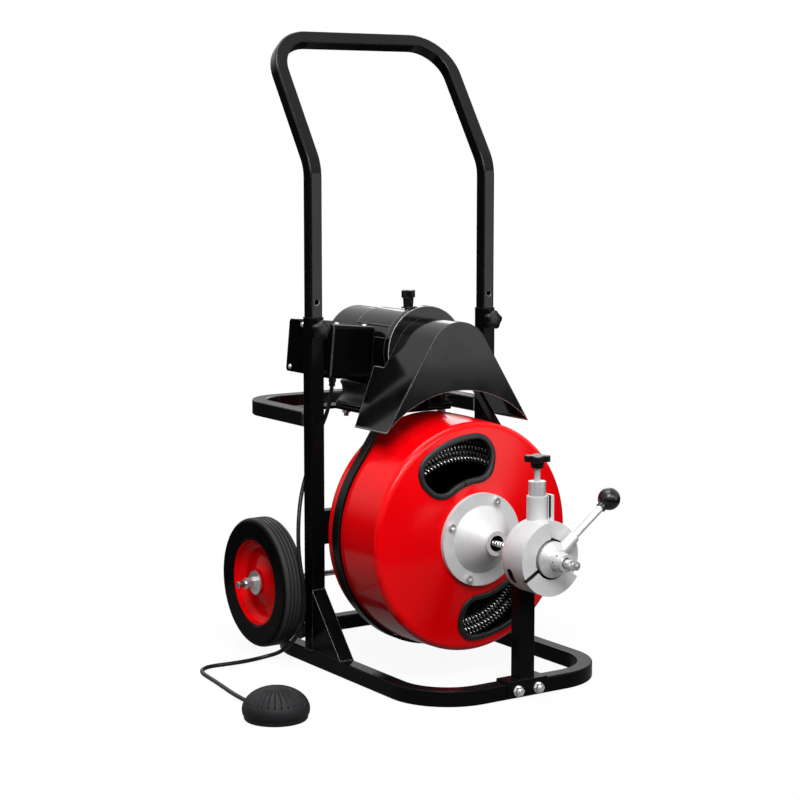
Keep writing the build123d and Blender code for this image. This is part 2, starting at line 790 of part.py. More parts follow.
MOTOR_MIDDLE = (MOTOR_FRONT - MOTOR_BACK) / 2
FOOT_TOP = PLATE_Z + PLATE_THICK + FOOT_FLANGE
SHELF = PLATE_Z + PLATE_THICK


def motor_bolt_places():
    """Where the four motor bolts stand, as x and distance forward."""
    ends = (MOTOR_MIDDLE - BOLT_SPACING / 2, MOTOR_MIDDLE + BOLT_SPACING / 2)
    return [(x, at) for x in (-BOLT_X, BOLT_X) for at in ends]


def frame_bolts():
    """Four bolts under the motor and two that hold the front post's saddle."""
    pieces = []
    head = hexagon_nut(BOLT_HEAD, BOLT * 0.65)
    for x, at in motor_bolt_places():
        grip = FOOT_FLANGE + PLATE_THICK
        bolt = Pos(0, 0, grip) * head + Cylinder(
            BOLT / 2, grip + 1.5 * BOLT, align=STANDING
        ).moved(Pos(0, 0, -1.5 * BOLT))
        bolt += Pos(0, 0, -0.8 * BOLT) * hexagon_nut(BOLT_HEAD, 0.8 * BOLT)
        pieces.append(Pos(x, forward(at), PLATE_Z) * bolt)
    grip = TUBE + 2 * SADDLE_SHEET
    for x in (-SADDLE_BOLT_SPACING / 2, SADDLE_BOLT_SPACING / 2):
        nut = extrude(Circle(BOLT_HEAD * 0.66), NUT_FLANGE)
        nut += Pos(0, 0, NUT_FLANGE) * hexagon_nut(BOLT_HEAD, 0.75 * BOLT)
        shank = Cylinder(BOLT / 2, grip + 1.3 * BOLT, align=STANDING)
        bolt = nut + Pos(0, 0, -grip) * shank + Pos(0, 0, -grip - BOLT * 0.65) * head
        pieces.append(facing_plane(BASE_FRONT + SADDLE_SHEET, HALF) * Pos(x, 0, 0) * bolt)
    return Compound(children=pieces)


def motor_housing():
    """The motor's body: barrel, two end bells with bearing seats, feet and a pad for the box."""
    inside = MOTOR_R - MOTOR_WALL
    seat = BEARING_R + MOTOR_WALL
    eye = SHAFT / 2 + MOTOR_WALL / 2
    rails = []
    for side in (-1, 1):
        rail = Box(FOOT_WIDTH, FOOT_LENGTH, MOTOR_Z - SHELF, align=STANDING)
        flange = Box(FOOT_WIDTH + FOOT_TOE, FOOT_LENGTH, FOOT_FLANGE, align=STANDING)
        rails.append(Pos(side * FOOT_SPACING / 2, forward(MOTOR_MIDDLE), SHELF) * rail)
        x = side * (FOOT_SPACING + FOOT_TOE) / 2
        rails.append(Pos(x, forward(MOTOR_MIDDLE), SHELF) * flange)
    pad_x = BOX_WIDTH / 2 + PAD_LENGTH / 2
    pad = box_place() * Pos(pad_x, 0, 0) * Box(PAD_LENGTH, PAD_WIDTH, PAD_HEIGHT)
    body = ring(0, MOTOR_R, -MOTOR_BACK, MOTOR_FRONT, MOTOR_Z) + rails + pad
    body -= ring(0, inside, MOTOR_WALL - MOTOR_BACK, MOTOR_FRONT - MOTOR_WALL, MOTOR_Z)
    for at in MOTOR_BEARINGS:
        body += ring(BEARING_R, seat, at, at + BEARING_WIDTH, MOTOR_Z)
    body -= ring(0, eye, -MOTOR_BACK, MOTOR_FRONT, MOTOR_Z)
    for x, at in motor_bolt_places():
        body -= Pos(x, forward(at), SHELF) * Cylinder(BOLT / 2 + PART_GAP, 4 * FOOT_FLANGE)
    return body


def sector(inner, outer, span):
    """A ring sector that is this many degrees wide about straight up."""
    half = math.radians(span / 2)
    reach = 2 * outer
    x, z = reach * math.sin(half), reach * math.cos(half)
    return (Circle(outer) - Circle(inner)) & outline((0, 0), (x, z), (x, reach), (-x, reach), (-x, z))


def motor_cover():
    """The arched sheet cover over the motor, with a slotted back over the fan."""
    front = facing_plane(-COVER_BACK, MOTOR_Z)
    arch = extrude(front * sector(COVER_INNER_R, COVER_R, COVER_SPAN), COVER_BACK + COVER_FRONT)
    arch += extrude(front * sector(FAN_EYE, COVER_R, COVER_SPAN), COVER_SHEET)
    for at in (-MOTOR_BACK, MOTOR_MIDDLE):
        band = sector(MOTOR_R, COVER_INNER_R, COVER_SPAN - 2 * MOTOR_WALL)
        arch += extrude(facing_plane(at, MOTOR_Z) * band, 2 * MOTOR_WALL)
    for turn in range(-2, 3):
        place = front * Rot(0, 0, 90 + 24 * turn) * Pos((COVER_R + FAN_EYE) / 2, 0)
        arch -= extrude(place * SlotOverall(COVER_R * 0.4, VENT_WIDTH), COVER_SHEET)
    hole = Cylinder(GUARD_STUD / 2 + PART_GAP, 4 * MOTOR_WALL)
    return arch - Pos(0, forward(GUARD_KNOB_AT), MOTOR_Z + COVER_R) * hole


def stator():
    half = STATOR_LENGTH / 2
    return ring(STATOR_BORE, MOTOR_R - MOTOR_WALL, MOTOR_MIDDLE - half, MOTOR_MIDDLE + half, MOTOR_Z)


PULLEY_BACK = BELT_CENTRE - BELT_WIDTH / 2 - PART_GAP - PULLEY_FLANGE
PULLEY_FRONT = BELT_CENTRE + BELT_WIDTH / 2 + PART_GAP + PULLEY_FLANGE
FAN_FRONT = -MOTOR_BACK - 2 * COVER_SHEET
FAN_BACK = -COVER_BACK + 4 * COVER_SHEET


def rotor():
    """The motor's armature and its shaft."""
    half = STATOR_LENGTH / 2
    shaft = ring(0, SHAFT / 2, FAN_BACK, PULLEY_FRONT, MOTOR_Z)
    return shaft + ring(0, STATOR_BORE - ROTOR_GAP, MOTOR_MIDDLE - half, MOTOR_MIDDLE + half, MOTOR_Z)


def fan():
    """The cooling fan on the back of the motor shaft."""
    wheel = ring(SHAFT / 2, SHAFT, FAN_BACK, FAN_FRONT, MOTOR_Z)
    wheel += ring(SHAFT / 2, FAN_R, FAN_FRONT - COVER_SHEET, FAN_FRONT, MOTOR_Z)
    plane = facing_plane(FAN_BACK, MOTOR_Z)
    length = FAN_R - SHAFT + COVER_SHEET
    for place in PolarLocations(FAN_R - length / 2, FAN_BLADES):
        wheel += extrude(plane * place * Rectangle(length, COVER_SHEET), FAN_FRONT - FAN_BACK)
    return wheel


def drive_pulley():
    """The flanged pulley on the front of the motor shaft."""
    pulley = ring(SHAFT / 2, PULLEY_R, PULLEY_BACK, PULLEY_FRONT, MOTOR_Z)
    pulley += ring(PULLEY_R, PULLEY_FLANGE_R, PULLEY_BACK, PULLEY_BACK + PULLEY_FLANGE, MOTOR_Z)
    return pulley + ring(PULLEY_R, PULLEY_FLANGE_R, PULLEY_FRONT - PULLEY_FLANGE, PULLEY_FRONT, MOTOR_Z)


def belt_face(grow):
    """The outline of a loop round the drum and the pulley at this height above both."""
    drum_r = DRUM_R + grow
    pulley_r = PULLEY_R + grow
    rise = MOTOR_Z - AXIS_Z
    lean = math.asin((drum_r - pulley_r) / rise)
    corners = []
    for side, ends in ((1, ((drum_r, 0), (pulley_r, rise))), (-1, ((pulley_r, rise), (drum_r, 0)))):
        for radius, height in ends:
            corners.append((side * radius * math.cos(lean), height + radius * math.sin(lean)))
    return Circle(drum_r) + Pos(0, rise) * Circle(pulley_r) + outline(*corners)


def drive_belt():
    """The flat belt from the pulley to the band on the drum."""
    face = belt_face(PART_GAP + BELT_THICK) - belt_face(PART_GAP)
    return extrude(facing_plane(BELT_CENTRE - BELT_WIDTH / 2, AXIS_Z) * face, BELT_WIDTH)


def guard_face(inset):
    """The outline of the belt guard from the front: a round crown with flared sides."""
    crown_z = MOTOR_Z - GUARD_CROWN_DROP - AXIS_Z
    radius = GUARD_CROWN_R - inset
    tip_x, tip_z = GUARD_TIP_X, GUARD_TIP_Z - AXIS_Z
    reach = math.hypot(tip_x, crown_z - tip_z)
    lean = math.atan2(tip_z - crown_z, tip_x) + math.acos(GUARD_CROWN_R / reach)
    touch = (radius * math.cos(lean), crown_z + radius * math.sin(lean))
    foot = (tip_x - inset * math.cos(lean), tip_z - inset * math.sin(lean))
    slope = ((foot[0] - touch[0]), (foot[1] - touch[1]))
    low = (foot[0] + 0.2 * slope[0], foot[1] + 0.2 * slope[1])
    corners = [touch, low, (-low[0], low[1]), (-touch[0], touch[1])]
    return Pos(0, crown_z) * Circle(radius) + outline(*corners)


def belt_guard():
    """The sheet guard in front of the belt: a flat front with a hood and two long skirts."""
    depth = GUARD_FRONT - GUARD_SKIRT_BACK
    plane = facing_plane(GUARD_SKIRT_BACK, AXIS_Z)
    hood = extrude(plane * guard_face(0), depth)
    hood = fillet(hood.faces().sort_by(Axis.Y)[0].edges(), GUARD_EDGE)
    hood -= extrude(plane * guard_face(GUARD_SHEET), depth - GUARD_SHEET)
    hood -= ring(0, GUARD_ARCH_R, 0, GUARD_FRONT, AXIS_Z + GUARD_ARCH_RISE)
    back = outline(
        (forward(0), MOTOR_Z + 2 * GUARD_CROWN_R),
        (forward(GUARD_COLLAR), MOTOR_Z + 2 * GUARD_CROWN_R),
        (forward(GUARD_COLLAR), GUARD_SKIRT_TOP),
        (forward(GUARD_SKIRT_BACK), GUARD_SKIRT_TOP),
        (forward(GUARD_TAIL_BACK), GUARD_TAIL_Z),
        (forward(GUARD_TAIL_BACK), AXIS_Z),
        (forward(0), AXIS_Z),
    )
    return hood - extrude(Plane.YZ * back, 2 * GUARD_TIP_X, both=True)


TONGUE_INNER_R = COVER_R + PART_GAP
NUT_TOP = MOTOR_Z + TONGUE_INNER_R + GUARD_SHEET + GUARD_NUT


def guard_collar():
    """The plate behind the guard's hood, with a tongue that lies over the motor cover."""
    back = GUARD_COLLAR - GUARD_SHEET
    disc = ring(SHAFT, COLLAR_R, back, GUARD_COLLAR, MOTOR_Z)
    disc += ring(COLLAR_R - GUARD_SHEET, COLLAR_R, back - COLLAR_LIP, back, MOTOR_Z)
    low = Box(4 * COLLAR_R, 4 * COLLAR_R, 2 * COLLAR_R, align=HANGING)
    disc -= Pos(0, forward(back), GUARD_SKIRT_TOP) * low
    arch = sector(TONGUE_INNER_R, TONGUE_INNER_R + GUARD_SHEET, TONGUE_SPAN)
    disc += extrude(facing_plane(-TONGUE_BACK, MOTOR_Z) * arch, TONGUE_BACK + back)
    nut = Cylinder(GUARD_STUD, GUARD_NUT + GUARD_SHEET, align=HANGING)
    nut -= Cylinder(GUARD_STUD / 2 + RUN_FIT, 8 * GUARD_SHEET)
    hole = Cylinder(GUARD_STUD / 2 + RUN_FIT, 8 * GUARD_SHEET)
    place = Pos(0, forward(GUARD_KNOB_AT), NUT_TOP)
    return disc - place * hole + place * nut


def guard_knob():
    """The hand screw on top that holds the collar's tongue down."""
    seat = NUT_TOP + PART_GAP
    stud_length = GUARD_NUT + 2.5 * GUARD_SHEET
    neck_r = GUARD_STUD * 1.3
    knob = star_knob(
        GUARD_KNOB / 2, GUARD_KNOB_LENGTH, GUARD_NECK_LENGTH, neck_r, GUARD_STUD / 2, stud_length, 4
    )
    washer = Cylinder(GUARD_KNOB * 0.46, GUARD_SHEET, align=STANDING)
    return Pos(0, forward(GUARD_KNOB_AT), seat) * (knob + washer)


def box_place():
    """The tilted place of the control box beside the motor."""
    return Pos(BOX_X, forward(BOX_AT), BOX_Z) * Rot(0, BOX_TILT, 0)


def box_block(width, length, height, corner):
    """A block with rounded corners as seen from the side."""
    face = RectangleRounded(length, height, corner)
    return extrude(Plane.YZ * face, width / 2, both=True)


LID_PLACES = [
    (y * (BOX_LENGTH / 2 - inset), z * (BOX_HEIGHT / 2 - BOX_POST / 2 - BOX_WALL))
    for y in (-1, 1)
    for z, inset in ((-1, LID_LOW_INSET), (1, LID_HIGH_INSET))
]
TOP_PLACES = [(-BOX_WIDTH * 0.3, -BOX_LENGTH * 0.36), (BOX_WIDTH * 0.39, -BOX_LENGTH * 0.36)]


def control_box():
    """The switch box beside the motor, open towards its lid."""
    body = box_block(BOX_WIDTH, BOX_LENGTH, BOX_HEIGHT, BOX_CORNER)
    room = box_block(
        BOX_WIDTH, BOX_LENGTH - 2 * BOX_WALL, BOX_HEIGHT - 2 * BOX_WALL, BOX_CORNER - BOX_WALL
    )
    body -= Pos(-BOX_WALL, 0, 0) * room
    for y, z in LID_PLACES:
        hole = Cylinder(BOX_SCREW / 4 + RUN_FIT, BOX_WIDTH, rotation=(0, 90, 0))
        body += Pos(-BOX_WALL / 2, y, z) * (Box(BOX_WIDTH - BOX_WALL, BOX_POST, BOX_POST) - hole)
    for x, y in TOP_PLACES:
        body -= Pos(x, y, BOX_HEIGHT / 2) * Cylinder(BOX_SCREW / 4 + RUN_FIT, 4 * BOX_WALL)
    body -= Pos(GLAND_AT_X, GLAND_FROM_FRONT - BOX_LENGTH / 2, -BOX_HEIGHT / 2) * Cylinder(
        GLAND_R * 0.8, 4 * BOX_WALL
    )
    opening = Box(ROCKER_WIDTH + 2 * ROCKER_FIT, 4 * BOX_WALL, ROCKER_HEIGHT + 4 * ROCKER_FIT)
    body -= Pos(ROCKER_X, BOX_LENGTH / 2, 0) * opening
    return box_place() * body


def box_lid():
    """The flat lid on the outer side of the control box."""
    lid = box_block(BOX_WALL, BOX_LENGTH, BOX_HEIGHT, BOX_CORNER)
    for y, z in LID_PLACES:
        lid -= Pos(0, y, z) * Cylinder(BOX_SCREW / 4 + RUN_FIT, 4 * BOX_WALL, rotation=(0, 90, 0))
    return box_place() * Pos(-BOX_WIDTH / 2 - BOX_WALL / 2, 0, 0) * lid


def dome_screw():
    """A dome headed screw along +Z with its head standing on the XY plane."""
    rise = BOX_SCREW * 0.34
    radius = (rise**2 + BOX_SCREW**2 / 4) / (2 * rise)
    head = Pos(0, 0, rise - radius) * Sphere(radius)
    head &= Cylinder(BOX_SCREW, BOX_SCREW, align=STANDING)
    return head + Cylinder(BOX_SCREW / 4, 3 * BOX_WALL, align=HANGING)


def box_screws():
    """The four screws of the lid and two on top of the box."""
    screw = dome_screw()
    pieces = []
    for y, z in LID_PLACES:
        face = Plane(origin=(-BOX_WIDTH / 2 - BOX_WALL, y, z), z_dir=(-1, 0, 0))
        pieces.append(box_place() * (face * screw))
    for x, y in TOP_PLACES:
        pieces.append(box_place() * Pos(x, y, BOX_HEIGHT / 2) * screw)
    return Compound(children=pieces)


def gland(radius, length, bore):
    """A cable gland along +Z: a round flange, a hexagon and a collar round a hole."""
    body = hexagon_nut(2 * radius, length * 0.5) & Cylinder(radius * 1.1, 4 * length)
    body += Cylinder(radius * 0.85, length, align=STANDING)
    return body - Cylinder(bore, 4 * length)


def box_glands():
    """The hose gland under the box and the inlet gland for the mains lead on its back."""
    under = Plane(
        origin=(GLAND_AT_X, GLAND_FROM_FRONT - BOX_LENGTH / 2, -BOX_HEIGHT / 2), z_dir=(0, 0, -1)
    )
    behind = Plane(origin=(INLET_X, BOX_LENGTH / 2, -BOX_HEIGHT / 4), z_dir=(0, 1, 0))
    hose_gland = gland(GLAND_R, GLAND_LENGTH, HOSE / 2 + HOSE_FIT)
    inlet = gland(INLET_R, GLAND_LENGTH, INLET_R / 2)
    return Compound(children=[box_place() * (under * hose_gland), box_place() * (behind * inlet)])


def rocker_switch():
    """The on and off rocker in the back of the box, tipped to its off side."""
    half = ROCKER_HEIGHT / 2
    face = outline(
        (-ROCKER_THICK / 2, -half),
        (ROCKER_THICK / 2, -half),
        (ROCKER_THICK / 2 - half * math.tan(math.radians(ROCKER_TILT)), 0),
        (ROCKER_THICK / 2, half),
        (-ROCKER_THICK / 2, half),
    )
    rocker = extrude(Plane.YZ * face, ROCKER_WIDTH / 2, both=True)
    hub = Cylinder(ROCKER_HUB_R, ROCKER_WIDTH, rotation=(0, 90, 0))
    hub &= Pos(0, -ROCKER_HUB_R, 0) * Box(2 * ROCKER_WIDTH, 2 * ROCKER_HUB_R, 2 * ROCKER_HUB_R)
    rocker = Rot(ROCKER_TILT, 0, 0) * (rocker + hub)
    return box_place() * Pos(ROCKER_X, BOX_LENGTH / 2 - BOX_WALL / 2, 0) * rocker


def front_post():
    """The post that carries the feed head, welded on a saddle over the front of the floor loop."""
    y = forward(BASE_FRONT - HALF)
    seat = TUBE + SADDLE_SHEET
    post = extrude(tube_section(POST_WIDTH, POST_DEPTH, TUBE_WALL), POST_TOP - seat)
    post = Pos(0, forward(HEAD_BACK - POST_DEPTH / 2), seat) * post
    saddle = Box(SADDLE_WIDTH, TUBE + 2 * SADDLE_SHEET, TUBE, align=HANGING)
    saddle -= Pos(0, 0, -SADDLE_SHEET) * Box(SADDLE_WIDTH, TUBE, TUBE, align=HANGING)
    post += Pos(0, y, seat) * saddle
    for x in (-SADDLE_BOLT_SPACING / 2, SADDLE_BOLT_SPACING / 2):
        post -= Pos(x, y, HALF) * Cylinder(BOLT / 2 + PART_GAP, 2 * TUBE, rotation=(90, 0, 0))
    return post


CAVITY_BACK = HEAD_BACK + HEAD_BACK_WALL
CAVITY_FRONT = HEAD_FRONT - HEAD_FRONT_WALL
COUNTERBORE_FLOOR = HEAD_FRONT - HEAD_COUNTERBORE
ROLLER_OFFSET = CABLE / 2 + ROLLER_NIP + ROLLER_R


def roller_places():
    """The x and z of the two lower rollers' pins."""
    places = []
    for angle in (210, 330):
        turn = math.radians(angle)
        places.append((ROLLER_OFFSET * math.cos(turn), AXIS_Z + ROLLER_OFFSET * math.sin(turn)))
    return places


def feed_head():
    """The casting round the feed rollers, with the boss for the pressure screw on top."""
    z = AXIS_Z
    foot = AXIS_Z + HEAD_CAVITY_R
    head = ring(0, HEAD_R, HEAD_BACK, HEAD_FRONT, z)
    head = fillet(head.faces().sort_by(Axis.Y)[-1].edges(), HEAD_EDGE)
    boss = Cylinder(BOSS_R, BOSS_TOP - foot, align=STANDING)
    head += Pos(0, forward(BOSS_AT), foot) * boss
    lug = Box(LUG_WIDTH, LUG_DEPTH, BOSS_TOP - foot, align=(Align.MIN, Align.CENTER, Align.MIN))
    slit_length = BOSS_TOP - AXIS_Z - HEAD_R
    slit = Box(LUG_SLIT, LUG_DEPTH, slit_length, align=(Align.MIN, Align.CENTER, Align.MAX))
    head += Pos(BOSS_R - LUG_SLIT / 2, forward(BOSS_AT), foot) * lug
    head -= Pos(BOSS_R, forward(BOSS_AT + LUG_DEPTH / 4), BOSS_TOP) * slit
    head -= ring(0, HEAD_CAVITY_R, CAVITY_BACK, CAVITY_FRONT, z)
    head -= ring(0, HEAD_CABLE_R, HEAD_BACK, CAVITY_BACK, z)
    head -= ring(0, NOSE_TUBE_R, CAVITY_FRONT, HEAD_FRONT, z)
    head -= ring(0, HEAD_COUNTERBORE_R, COUNTERBORE_FLOOR, HEAD_FRONT, z)
    bore = Cylinder(PLUNGER_R, BOSS_TOP, align=STANDING)
    head -= Pos(0, forward(BOSS_AT), AXIS_Z + ROLLER_OFFSET) * bore
    front = facing_plane(COUNTERBORE_FLOOR, z)
    slot_length = HEAD_R - HEAD_COUNTERBORE_R + HEAD_SLOT
    for place in PolarLocations(HEAD_R - slot_length / 2 + HEAD_SLOT / 2, HEAD_SLOTS, start_angle=90):
        head -= extrude(front * place * Rectangle(slot_length, HEAD_SLOT), HEAD_FRONT_WALL)
    pocket_span = 360 / HEAD_SLOTS
    pocket = Rot(0, 0, -pocket_span / 2) * sector(HEAD_COUNTERBORE_R, 2 * HEAD_R, pocket_span)
    head -= extrude(facing_plane(HEAD_FRONT - HEAD_RECESS, z) * pocket, HEAD_RECESS)
    turn = math.radians(SIDE_WINDOW_ANGLE)
    outward = (math.cos(turn), 0, math.sin(turn))
    side = Plane(origin=(0, forward((CAVITY_BACK + CAVITY_FRONT) / 2), z), x_dir=(0, 1, 0), z_dir=outward)
    head -= extrude(side * Rot(0, 0, 90) * SlotOverall(SIDE_WINDOW_LENGTH, SIDE_WINDOW_WIDTH), 2 * HEAD_R)
    for x, pin_z in roller_places():
        pin = ring(0, PIN_R + RUN_FIT, HEAD_BACK, HEAD_FRONT, pin_z)
        head -= Pos(x, 0, 0) * pin
    return head


def nose_bushing():
    """The fixed tube in the middle of the head that the lever turns on and the cable leaves by."""
    back = CAVITY_FRONT - PART_GAP
    step = LEVER_HUB_FRONT + PART_GAP
    face = outline(
        (NOSE_BORE_R, back),
        (NOSE_TUBE_R, back),
        (NOSE_TUBE_R, step),
        (NOSE_BOSS_R, step),
        (NOSE_BOSS_R, NOSE_BOSS_FRONT),
        (NOSE_RIM_R, NOSE_BOSS_FRONT),
        (NOSE_RIM_R, NOSE_RIM_FRONT),
        (NOSE_BORE_R + NOSE_FLARE, NOSE_RIM_FRONT),
        (NOSE_BORE_R, NOSE_RIM_FRONT - NOSE_FLARE_DEPTH),
    )
    bush = turned(face, AXIS_Z)
    middle = (step + NOSE_BOSS_FRONT) / 2
    hole = Cylinder(SET_SCREW / 2, 2 * NOSE_BOSS_R, align=STANDING)
    return bush - Plane(origin=(0, forward(middle), AXIS_Z), z_dir=(-1, 0, 0)) * hole


def lever_plane():
    """A plane whose normal points along the feed lever, at the lever's axis."""
    turn = math.radians(LEVER_ANGLE)
    outward = (math.cos(turn), 0, math.sin(turn))
    return Plane(origin=(0, forward(LEVER_AT), AXIS_Z), x_dir=(0, 1, 0), z_dir=outward)


ROD_END = LEVER_BALL_AT + LEVER_BALL * 0.2


def lever():
    """The feed lever: a hub on the nose bushing with a stepped rod."""
    back = COUNTERBORE_FLOOR + LEVER_HUB_GAP
    face = outline(
        (NOSE_TUBE_R + RUN_FIT, back),
        (LEVER_HUB_R, back),
        (LEVER_HUB_R, LEVER_HUB_EDGE),
        (LEVER_HUB_BOSS_R, LEVER_HUB_FRONT),
        (NOSE_TUBE_R + RUN_FIT, LEVER_HUB_FRONT),
    )
    start = (LEVER_HUB_R + NOSE_TUBE_R) / 2
    root = extrude(Circle(LEVER_ROOT / 2), LEVER_ROOT_END - start)
    root = chamfer(root.edges().group_by(Axis.Z)[-1], (LEVER_ROOT - LEVER_ROD) / 3)
    rod = extrude(Circle(LEVER_ROD / 2), ROD_END - start)
    return turned(face, AXIS_Z) + lever_plane() * Pos(0, 0, start) * (root + rod)


def lever_ball():
    """The ball grip on the end of the feed lever."""
    ball = Sphere(LEVER_BALL / 2)
    neck = Cylinder(LEVER_NECK / 2, LEVER_BALL * 0.6, align=HANGING)
    ball += neck
    bore = Cylinder(LEVER_ROD / 2, 2 * LEVER_BALL, align=HANGING)
    ball -= Pos(0, 0, ROD_END - LEVER_BALL_AT) * bore
    return lever_plane() * Pos(0, 0, LEVER_BALL_AT) * ball


YOKE_BOTTOM = AXIS_Z + CABLE / 2 + ROLLER_LIFT + 1.0
ROLLER_Z = AXIS_Z + ROLLER_OFFSET + ROLLER_LIFT
SLEEVE_BOTTOM = YOKE_TOP + 2 * ROLLER_LIFT


def at_boss(piece, z):
    """Stand a piece made along +Z on the boss's axis at this height."""
    return Pos(0, forward(BOSS_AT), z) * piece


def plunger_sleeve():
    """The plated sleeve clamped in the boss, which the pressure screw is threaded through."""
    length = PLUNGER_TOP - SLEEVE_BOTTOM
    tube = extrude(Circle(PLUNGER_R) - Circle(SCREW_R + RUN_FIT), length)
    return at_boss(tube, SLEEVE_BOTTOM)


def roller_yoke():
    """The fork that the pressure screw pushes down and that carries the top roller."""
    fork = extrude(Circle(PLUNGER_R - RUN_FIT), YOKE_TOP - YOKE_BOTTOM)
    fork = at_boss(fork, YOKE_BOTTOM)
    room = 2 * (ROLLER_Z + ROLLER_R + 1.0 - YOKE_BOTTOM)
    fork -= at_boss(Box(4 * PLUNGER_R, TOP_ROLLER_LENGTH + 2 * YOKE_GAP, room), YOKE_BOTTOM)
    socket = Cylinder(SCREW_R + RUN_FIT, SCREW_SOCKET, align=HANGING)
    fork -= at_boss(socket, YOKE_TOP)
    pin = Cylinder(PIN_R + RUN_FIT, 4 * PLUNGER_R, rotation=(90, 0, 0))
    return fork - at_boss(pin, ROLLER_Z)


def pressure_screw():
    bottom = YOKE_TOP - SCREW_SOCKET + RUN_FIT
    top = KNOB_BOTTOM + SCREW_IN_KNOB
    return at_boss(extrude(Circle(SCREW_R), top - bottom), bottom)


def pressure_knob():
    """The star knob on top of the pressure screw."""
    knob = star_knob(KNOB_R, KNOB_LENGTH, KNOB_NECK, SCREW_R * 1.9, SCREW_R, 0, KNOB_ARMS)
    hole = Cylinder(SCREW_R, SCREW_IN_KNOB, align=STANDING)
    return at_boss(Rot(0, 0, KNOB_TURN) * (knob - hole), KNOB_BOTTOM)


def roller(length, pin_length, middle, x, z):
    """A feed roller with its pin along the cable."""
    body = ring(0, ROLLER_R, middle - length / 2, middle + length / 2, z)
    body += ring(0, PIN_R, middle - pin_length / 2, middle + pin_length / 2, z)
    return Pos(x, 0, 0) * body


def pedal_place():
    return Pos(PEDAL_X, forward(PEDAL_AT), 0)


SKIRT_R = PEDAL_R - PEDAL_WALL - PEDAL_FIT


def pedal_base():
    """The dished foot of the pedal with the spout for the air hose."""
    dish = extrude(Circle(PEDAL_R), PEDAL_RIM)
    dish = fillet(dish.edges(), PEDAL_WALL * 0.4)
    room = extrude(Circle(PEDAL_R - PEDAL_WALL), PEDAL_RIM)
    dish -= Pos(0, 0, PEDAL_FLOOR) * room
    spout = Cylinder(SPOUT_R, SPOUT_LENGTH, align=STANDING)
    side = Plane(origin=(0, PEDAL_R - PEDAL_WALL / 2, SPOUT_Z), z_dir=(0, 1, 0))
    return pedal_place() * (dish + side * spout)


def dome_face(radius, bottom, shoulder, top):
    """Half of a dome's section, from its axis outward: a straight skirt under a smooth cap."""
    cap = Spline((radius, shoulder), (0, top), tangents=((0, 1), (-1, 0)))
    sides = Polyline((0, top), (0, bottom), (radius, bottom), (radius, shoulder))
    return make_face([*sides.edges(), *cap.edges()])


def pedal_dome():
    """The rubber dome that is trodden down to send a puff of air to the switch."""
    bottom = PEDAL_FLOOR + PEDAL_TRAVEL + 1.0
    shoulder = PEDAL_RIM + PEDAL_WALL
    outer = dome_face(SKIRT_R, bottom, shoulder, PEDAL_TOP)
    room = dome_face(SKIRT_R - PEDAL_DOME_WALL, bottom, shoulder, PEDAL_TOP - PEDAL_DOME_WALL)
    return pedal_place() * revolve(Plane.XZ * (outer - room), axis=Axis.Z)


def under_gland(drop):
    """A point this far below the control box on the axis of its hose gland."""
    place = Pos(GLAND_AT_X, GLAND_FROM_FRONT - BOX_LENGTH / 2, -BOX_HEIGHT / 2 - drop)
    return (box_place() * place).position


def behind_spout(reach):
    """A point this far behind the pedal's middle on the axis of its spout."""
    return Vector(PEDAL_X, forward(PEDAL_AT) + reach, SPOUT_Z)


def hose_points():
    """The bends of the air hose from the box gland to the pedal spout."""
    middle = [Vector(x, forward(at), z) for x, at, z in HOSE_BENDS]
    spout_end = PEDAL_R - PEDAL_WALL / 2 + SPOUT_LENGTH
    start = [under_gland(GLAND_LENGTH / 2), under_gland(GLAND_LENGTH / 2 + HOSE_START)]
    return start + middle + [behind_spout(spout_end + HOSE_END), behind_spout(spout_end)]


def bend_radii(points):
    """The largest even bend at each inner point that leaves a short straight between bends."""
    radii = []
    for before, here, after in zip(points, points[1:], points[2:]):
        one = here - before
        two = after - here
        turn = math.radians(one.get_angle(two))
        radii.append(0.45 * min(one.length, two.length) / math.tan(turn / 2))
    return radii


def pedal_hose():
    """The air hose, bent along its lie on the machine and on the floor."""
    points = hose_points()
    radii = bend_radii(points)
    path = FilletPolyline(*points, radius=radii)
    hose = sweep(Plane(origin=path @ 0, z_dir=path % 0) * Circle(HOSE / 2), path=path)
    print("hose length", round(path.length, 1), "bends", [round(radius, 1) for radius in radii])
    print("hose volume over section times length", hose.volume / (math.pi * HOSE**2 / 4 * path.length))
    return hose


ROLLER_MIDDLE = (CAVITY_BACK + CAVITY_FRONT) / 2
LOWER_PIN = CAVITY_FRONT - CAVITY_BACK + 3 * PIN_R
TOP_PIN = 2 * PLUNGER_R * 0.75


